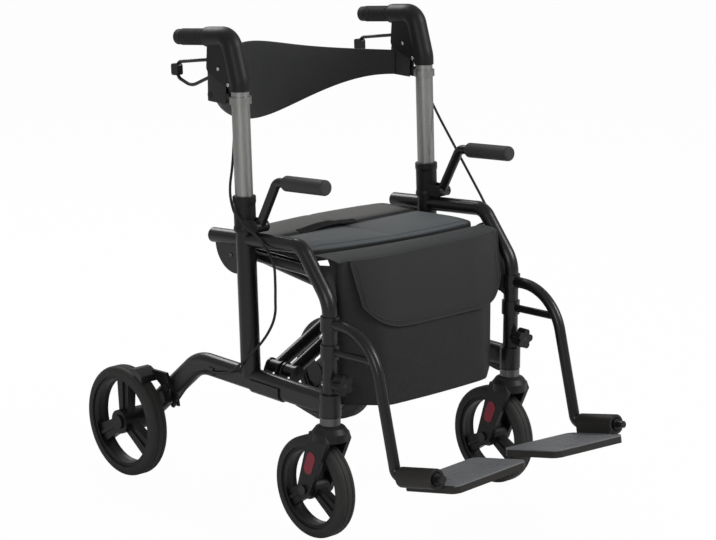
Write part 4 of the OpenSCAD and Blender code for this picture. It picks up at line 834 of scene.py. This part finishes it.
band, _ = bent_sheet(strap_point, 84, 18, STRAP_THICK)
centre = [v.co.y for v in band.verts if abs(v.co.x) < 0.004]
to_front = sum(centre) / len(centre) < mm(0, STRAP_Y + STRAP_BOW, 0).y
half_thick = STRAP_THICK * 500
for v in band.verts:
    w = within(v.co.x * 1000 / STRAP_X, -1.0, 1.0)
    y, z, half = strap_shape(w)
    h = within((v.co.z * 1000 - z) / half, -1.0, 1.0)
    proud = (v.co.y - mm(0, y, 0).y) * 1000 + (half_thick if to_front else -half_thick)
    crown = 4.2 * (1 - w ** 4) * (1 - abs(h) ** 3) + 1.2 * (1 - w ** 8)
    hem = -0.9 * math.exp(-((abs(h) * half - half + HEM_IN) / 2.2) ** 2)
    v.co.y += math.copysign(crown + hem, proud) / 1000
rounded(band, [e for e in band.edges if e.calc_face_angle(0) > 1.0], 0.0015, 2)
backrest = piece("back_strap", band, strap_cloth, "handle_right", angle=60)
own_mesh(backrest)
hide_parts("backrest")
print("back strap points", len(backrest.data.vertices))

# %% [markdown]
# Each end of the strap is a loop of the same cloth that passes round the bracket's arm. Seen from
# outside, it is the dark patch behind the handle post. A few points make the loop in plan, an
# extrusion makes it as high as the strap's end, and solidify gives the cloth's thickness.

# %% Strap loops
LOOP_LOW, LOOP_STEPS, LOOP_RISE = 712.5, 6, 0.0082
loop_plan = [(207.6, 258), (207.6, 300), (208.4, 306), (210.6, 310.5), (213, 312),
             (215.4, 310.5), (217.6, 306), (218.4, 300), (218.4, 258)]
for side, (sign, word) in SIDES.items():
    loop = bmesh.new()
    way = [loop.verts.new(mm(sign * x, y, LOOP_LOW)) for x, y in loop_plan]
    line = [loop.edges.new(pair) for pair in zip(way, way[1:])]
    for _ in range(LOOP_STEPS):
        fresh, line = grow(loop, line)
        bmesh.ops.translate(loop, vec=(0, 0, LOOP_RISE), verts=fresh)
    bmesh.ops.recalc_face_normals(loop, faces=loop.faces)
    bmesh.ops.solidify(loop, geom=loop.faces, thickness=0.0012)
    piece(f"back_strap_loop_{side}", loop, strap_cloth, f"handle_{word}")
print("strap loops made")

# %% [markdown]
# The bag hangs under the seat's front edge: a cloth shell with slanted front corners, a bottom
# that leans forward, and a mouth under the flap. It is lofted: one ring of points in plan, drawn
# upwards ring by ring. The front bellies a little and the bottom sags, as cloth does.

# %% Bag shell
BAG_TOP, BAG_LOW, BAG_LEAN = 474.8, 229.5, 35
BAG_FRONT, BAG_CORNER, BAG_BACK = -2, 15, 43.5
BAG_FLAT, BAG_SIDE = 118, 179.5
RING_STEPS = [24, 8, 5, 24, 5, 8]


def bag_ring(height):
    """Corner points of the bag in plan at a share of its height."""
    front = BAG_FRONT - BAG_LEAN * (1 - height)
    return [(-BAG_FLAT, front), (BAG_FLAT, front), (BAG_SIDE, BAG_CORNER), (BAG_SIDE, BAG_BACK),
            (-BAG_SIDE, BAG_BACK), (-BAG_SIDE, BAG_CORNER)]


def ring_points(height):
    """Even points along the bag's outline, with belly and sag."""
    made, plan = [], bag_ring(height)
    for i, steps in enumerate(RING_STEPS):
        (ax, ay), (bx, by) = plan[i], plan[(i + 1) % len(plan)]
        for s in range(steps):
            f = s / steps
            x, y = ax + (bx - ax) * f, ay + (by - ay) * f
            if i == 0:
                y -= 4.0 * math.sin(math.pi * height) * math.cos(math.pi * x / 300)
            sag = 5.0 * (1 - height) ** 3 * math.cos(math.pi * x / 380)
            made.append(mm(x, y, BAG_LOW + (BAG_TOP - BAG_LOW) * height - sag))
    return made


def in_mouth(face):
    """The mouth is cut high in the bag's front."""
    at = face.calc_center_median()
    return abs(at.x) < 0.101 and at.y < LEG_Y and 0.402 < at.z < 0.466


bag = bmesh.new()
bmesh.ops.create_circle(bag, segments=sum(RING_STEPS), radius=0.1)
for v, co in zip(bag.verts, ring_points(0.0)):
    v.co = co
bottom = ring = list(bag.edges)
order = list(bag.verts)
for level in (0.02, 0.05, 0.1, 0.18, 0.26, 0.34, 0.42, 0.5, 0.58, 0.65, 0.72, 0.79, 0.86, 0.93,
              0.97, 1.0):
    fresh, ring = grow(bag, ring)
    order = [next(e.other_vert(old) for e in old.link_edges if e.other_vert(old) in fresh)
             for old in order]
    for v, co in zip(order, ring_points(level)):
        v.co = co
centre = mm(0, 5, BAG_LOW - 5)
for shrink in (0.985, 0.8, 0.5):
    fresh, bottom = grow(bag, bottom)
    bmesh.ops.scale(bag, vec=(shrink, shrink, 0.7), space=Matrix.Translation(-centre), verts=fresh)
bmesh.ops.contextual_create(bag, geom=bottom)
mouth = [f for f in bag.faces if in_mouth(f)]
bmesh.ops.delete(bag, geom=mouth, context="FACES")
for _ in range(2):
    bmesh.ops.smooth_vert(bag, verts=[v for v in bag.verts if not v.is_boundary], factor=0.5,
                          use_axis_x=True, use_axis_y=True, use_axis_z=True)
bmesh.ops.recalc_face_normals(bag, faces=bag.faces)
bmesh.ops.solidify(bag, geom=bag.faces, thickness=0.002)
bag_shell = piece("bag_shell", bag, bag_cloth, "frame_right", angle=70)
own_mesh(bag_shell)
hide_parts("bag")
print("bag points", len(bag_shell.data.vertices), "mouth faces cut", len(mouth))

# %% [markdown]
# Between the seat and the flap lies a strip of coated cloth that closes the bag's top. It is a soft
# roll that turns over at the front and dips in front of the seat, where the dark line is. A grid is
# bent to it and given the cloth's thickness.

# %% Bag top strip
FLAP_Z, FLAP_OFF, LEAN_TOP, LEAN_DROP = 477, 6.2, 475.3, 246.3
STRIP_X, STRIP_HALF, STRIP_Z, STRIP_REAR = 0.5, 184.5, 476.2, 58.9


def flap_y(x, z, t):
    """How far back the flap's cloth lies at a place of the bag's front, t of the way down."""
    front = BAG_FRONT - BAG_LEAN * (LEAN_TOP - z) / LEAN_DROP - FLAP_OFF
    front -= 3.5 * math.sin(math.pi * t) * math.cos(math.pi * x / 300)
    side = max(0.0, (abs(x) - 100) / 78)
    return min(9.5, front + 17.5 * side ** 1.6 * (0.85 if x > 0 else 1.2 + 0.4 * t))


def strip_point(s, depth):
    """A point of the strip: s across the bag, depth from the flap to the seat."""
    x, t = STRIP_X + STRIP_HALF * s, (depth + 1) / 2
    front, rear = flap_y(x, FLAP_Z, 0) + 2.4, STRIP_REAR + 0.97 * bow(x)
    roll = 5.2 * math.sin(math.pi * min(1.0, t / 0.9)) ** 0.6 * (1 - 0.5 * s ** 6)
    dip = 13.0 * max(0.0, (t - 0.72) / 0.28) ** 1.4
    return mm(x, front + (rear - front) * t, STRIP_Z + roll - dip)


cover, strip_area = bent_sheet(strip_point, 60, 18, 0.002)
top_strip = piece("bag_top_strip", cover, strip_cloth, "frame_right", angle=60)
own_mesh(top_strip)
print("top strip area", round(strip_area, 4), "m2")

# %% [markdown]
# Two tabs of bag cloth hold the bag to the front legs, high up beside the seat. Each is a small
# ribbon that runs from the bag's side to the leg, with a hollow lower edge where it is stretched.

# %% Bag tabs
TAB_LOW, TAB_HIGH, TAB_X, TAB_REACH = 356, 112, 179, 20.3
LEG_BEND_Z, LEG_SLOPE = 415, math.tan(math.radians(40))


def tab_point(sign, u, v):
    """A point of a tab: u from the bag to the leg, v upwards."""
    out, up = (u + 1) / 2, (v + 1) / 2
    z = TAB_LOW + TAB_HIGH * up + 10 * (1 - up) * math.sin(math.pi * out)
    leg = max(0.0, z - LEG_BEND_Z) * LEG_SLOPE
    return mm(sign * (TAB_X + TAB_REACH * out), 24 * (1 - out) + (leg + 2) * out, z)


tabs = bmesh.new()
for sign in (-1, 1):
    tab, _ = bent_sheet(lambda u, v: tab_point(sign, u, v), 8, 14, 0.0018)
    gather(tabs, tab)
bag_tabs = piece("bag_tabs", tabs, bag_cloth, "frame_right")
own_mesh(bag_tabs)
print("tabs faces", len(bag_tabs.data.polygons))

# %% [markdown]
# The flap closes the bag's mouth. It is one sheet that falls over the front edge, wide at the top
# and rounded at its lower corners, cut a little larger than the mouth. A grid is laid on the
# bag's front with its lower edge drawn as a rounded curve, so the outline is smooth.

# %% Flap
FLAP_LOW, FLAP_ROUND = 354, 44


def flap_point(s, t):
    """A point of the flap: s across from -1 to 1, t down from 0 to 1."""
    low_z = FLAP_LOW + FLAP_ROUND * abs(s) ** (5 if s < 0 else 9)
    high_x, low_x = 10.5 + 173.5 * s, 18 + 164 * s
    x, z = high_x + (low_x - high_x) * t, FLAP_Z + (low_z - FLAP_Z) * t
    return mm(x, flap_y(x, z, t), z)


leaf, flat_area = bent_sheet(lambda u, v: flap_point(u, (1 - v) / 2), 60, 20, 0.0022)
flap = piece("bag_flap_sheet", leaf, flap_cloth, "flap", angle=60)
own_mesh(flap)
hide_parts("bag_flap")
print("flap area", round(flat_area, 4), "m2")

# %% [markdown]
# A bound edge finishes the flap: a thin round tape along its free sides, and a line of stitches
# beside it. Both follow the same curve as the sheet, a little proud of its face.

# %% Flap edge
AHEAD = Vector((0, -1, 0))


def along_edge(side, low, rows, reach, proud):
    """Points down one side of the flap, across its foot and up the other side."""
    way = [(-side, t / 16) for t in range(1, rows)]
    way += [(s / 40, low) for s in range(-reach, reach + 1)]
    way += [(side, t / 16) for t in range(rows - 1, 0, -1)]
    return [flap_point(s, t) + AHEAD * proud for s, t in way]


outline = along_edge(1, 1, 16, 40, 0.0)
edge_tape = piece("bag_flap_binding", tube(outline, 0.0015, sides=8), binding, "flap")
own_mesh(edge_tape)
inside = along_edge(0.94, 0.925, 15, 37, 0.0014)
flap_thread = piece("bag_flap_stitching", stitches(inside, AHEAD), thread_grey, "flap")
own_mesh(flap_thread)
print("flap binding and stitching made")

# %% [markdown]
# Rivets and screws are what a quick stand-in leaves out. One profile with a dimple, spun about its
# own axis, makes a pan head. Heads sit on both faces of the handle housings and of the post
# gussets, each on the face that carries it.

# %% Rivets and screws
HOUSING_HALF, GUSSET_HALF = 12, 4


def head(at, way, d):
    """A pan head with a dimple, d millimetres wide, standing on a face."""
    profile = [(0, 0.34), (0.3, 0.36), (0.38, 0.55), (0.6, 0.58), (0.85, 0.42), (1, 0.16),
               (1, -0.2), (0, -0.2)]
    return spun([(r * d / 2, h * d / 2) for r, h in profile], at, way, steps=16)


for side, (sign, word) in SIDES.items():
    rivets, screws = bmesh.new(), bmesh.new()
    for y, z in ((243.5, 748.3), (269.7, 772.3)):
        for out in (1, -1):
            face = mm(sign * (SIDE_MM + HOUSING_HALF * out), y, z)
            gather(rivets, head(face, (sign * out, 0, 0), 7))
    for out in (1, -1):
        face = mm(sign * (SIDE_MM + GUSSET_HALF * out), 252, 452)
        gather(screws, head(face, (sign * out, 0, 0), 8))
    piece(f"housing_rivets_{side}", rivets, bright_steel, f"handle_{word}")
    piece(f"gusset_rivets_{side}", screws, dark_steel, f"frame_{word}")
print("rivets made")

# %% [markdown]
# The stage is a plain pale floor under soft studio light: a large lamp high at the camera's right,
# a weaker fill at its left and a rim lamp behind the chair. The camera sees white round the object,
# but black tubes only look black if they mirror something dimmer, so all other rays meet a grey
# room.

# %% Studio
ROOM_GREY, FLOOR_WHITE, FLOOR_GAP = 0.36, 0.975, 0.0005


def lamp(name, at, to, size, power):
    light = bpy.data.lights.new(name, "AREA")
    light.size, light.energy = size, power
    made = bpy.data.objects.new(name, light)
    scene.collection.objects.link(made)
    made.location = at
    made.rotation_euler = (Vector(to) - Vector(at)).to_track_quat("-Z", "Y").to_euler()


lamp("key_lamp", (1.8, -2.6, 2.8), (0, 0, 0.4), 1.6, 84)
lamp("fill_lamp", (-2.8, -1.6, 1.6), (0, 0, 0.4), 1.2, 20)
lamp("rim_lamp", (0.4, 2.4, 2.6), (0, 0, 0.5), 1.4, 45)

scene.world = bpy.data.worlds.new("studio")
scene.world.use_nodes = True
tree = scene.world.node_tree
back = tree.nodes["Background"]
back.inputs["Color"].default_value = (1, 1, 1, 1)
seen = put(tree, "ShaderNodeLightPath").outputs["Is Camera Ray"]
bright = put(tree, "ShaderNodeMapRange", Value=seen, To_Min=ROOM_GREY)
tree.links.new(bright.outputs["Result"], back.inputs["Strength"])

ground = bmesh.new()
bmesh.ops.create_grid(ground, x_segments=1, y_segments=1, size=6.0)
bmesh.ops.translate(ground, vec=(0, 0, cad_low[2] - FLOOR_GAP), verts=ground.verts)
pale, tree, shader = new_material("pale_floor")
shader.inputs["Base Color"].default_value = (0.8, 0.8, 0.8, 1)
shader.inputs["Roughness"].default_value = 0.8
seen = put(tree, "ShaderNodeLightPath").outputs["Is Camera Ray"]
glow = put(tree, "ShaderNodeEmission", Color=(1, 1, 1, 1), Strength=1.0)
both = put(tree, "ShaderNodeMixShader", in0=times(tree, seen, FLOOR_WHITE),
           in1=shader.outputs["BSDF"], in2=glow.outputs["Emission"])
tree.links.new(both.outputs["Shader"], tree.nodes["Material Output"].inputs["Surface"])
floor = piece("studio_floor", ground, pale)
scene.view_settings.view_transform = "Standard"
print("studio ready")

# %% [markdown]
# Last, the CAD model's box is printed. The dressed chair should stay in it, apart from a little
# cloth.

# %% Size and finish
print("CAD box", [round(c, 4) for c in (*cad_low, *cad_high)])
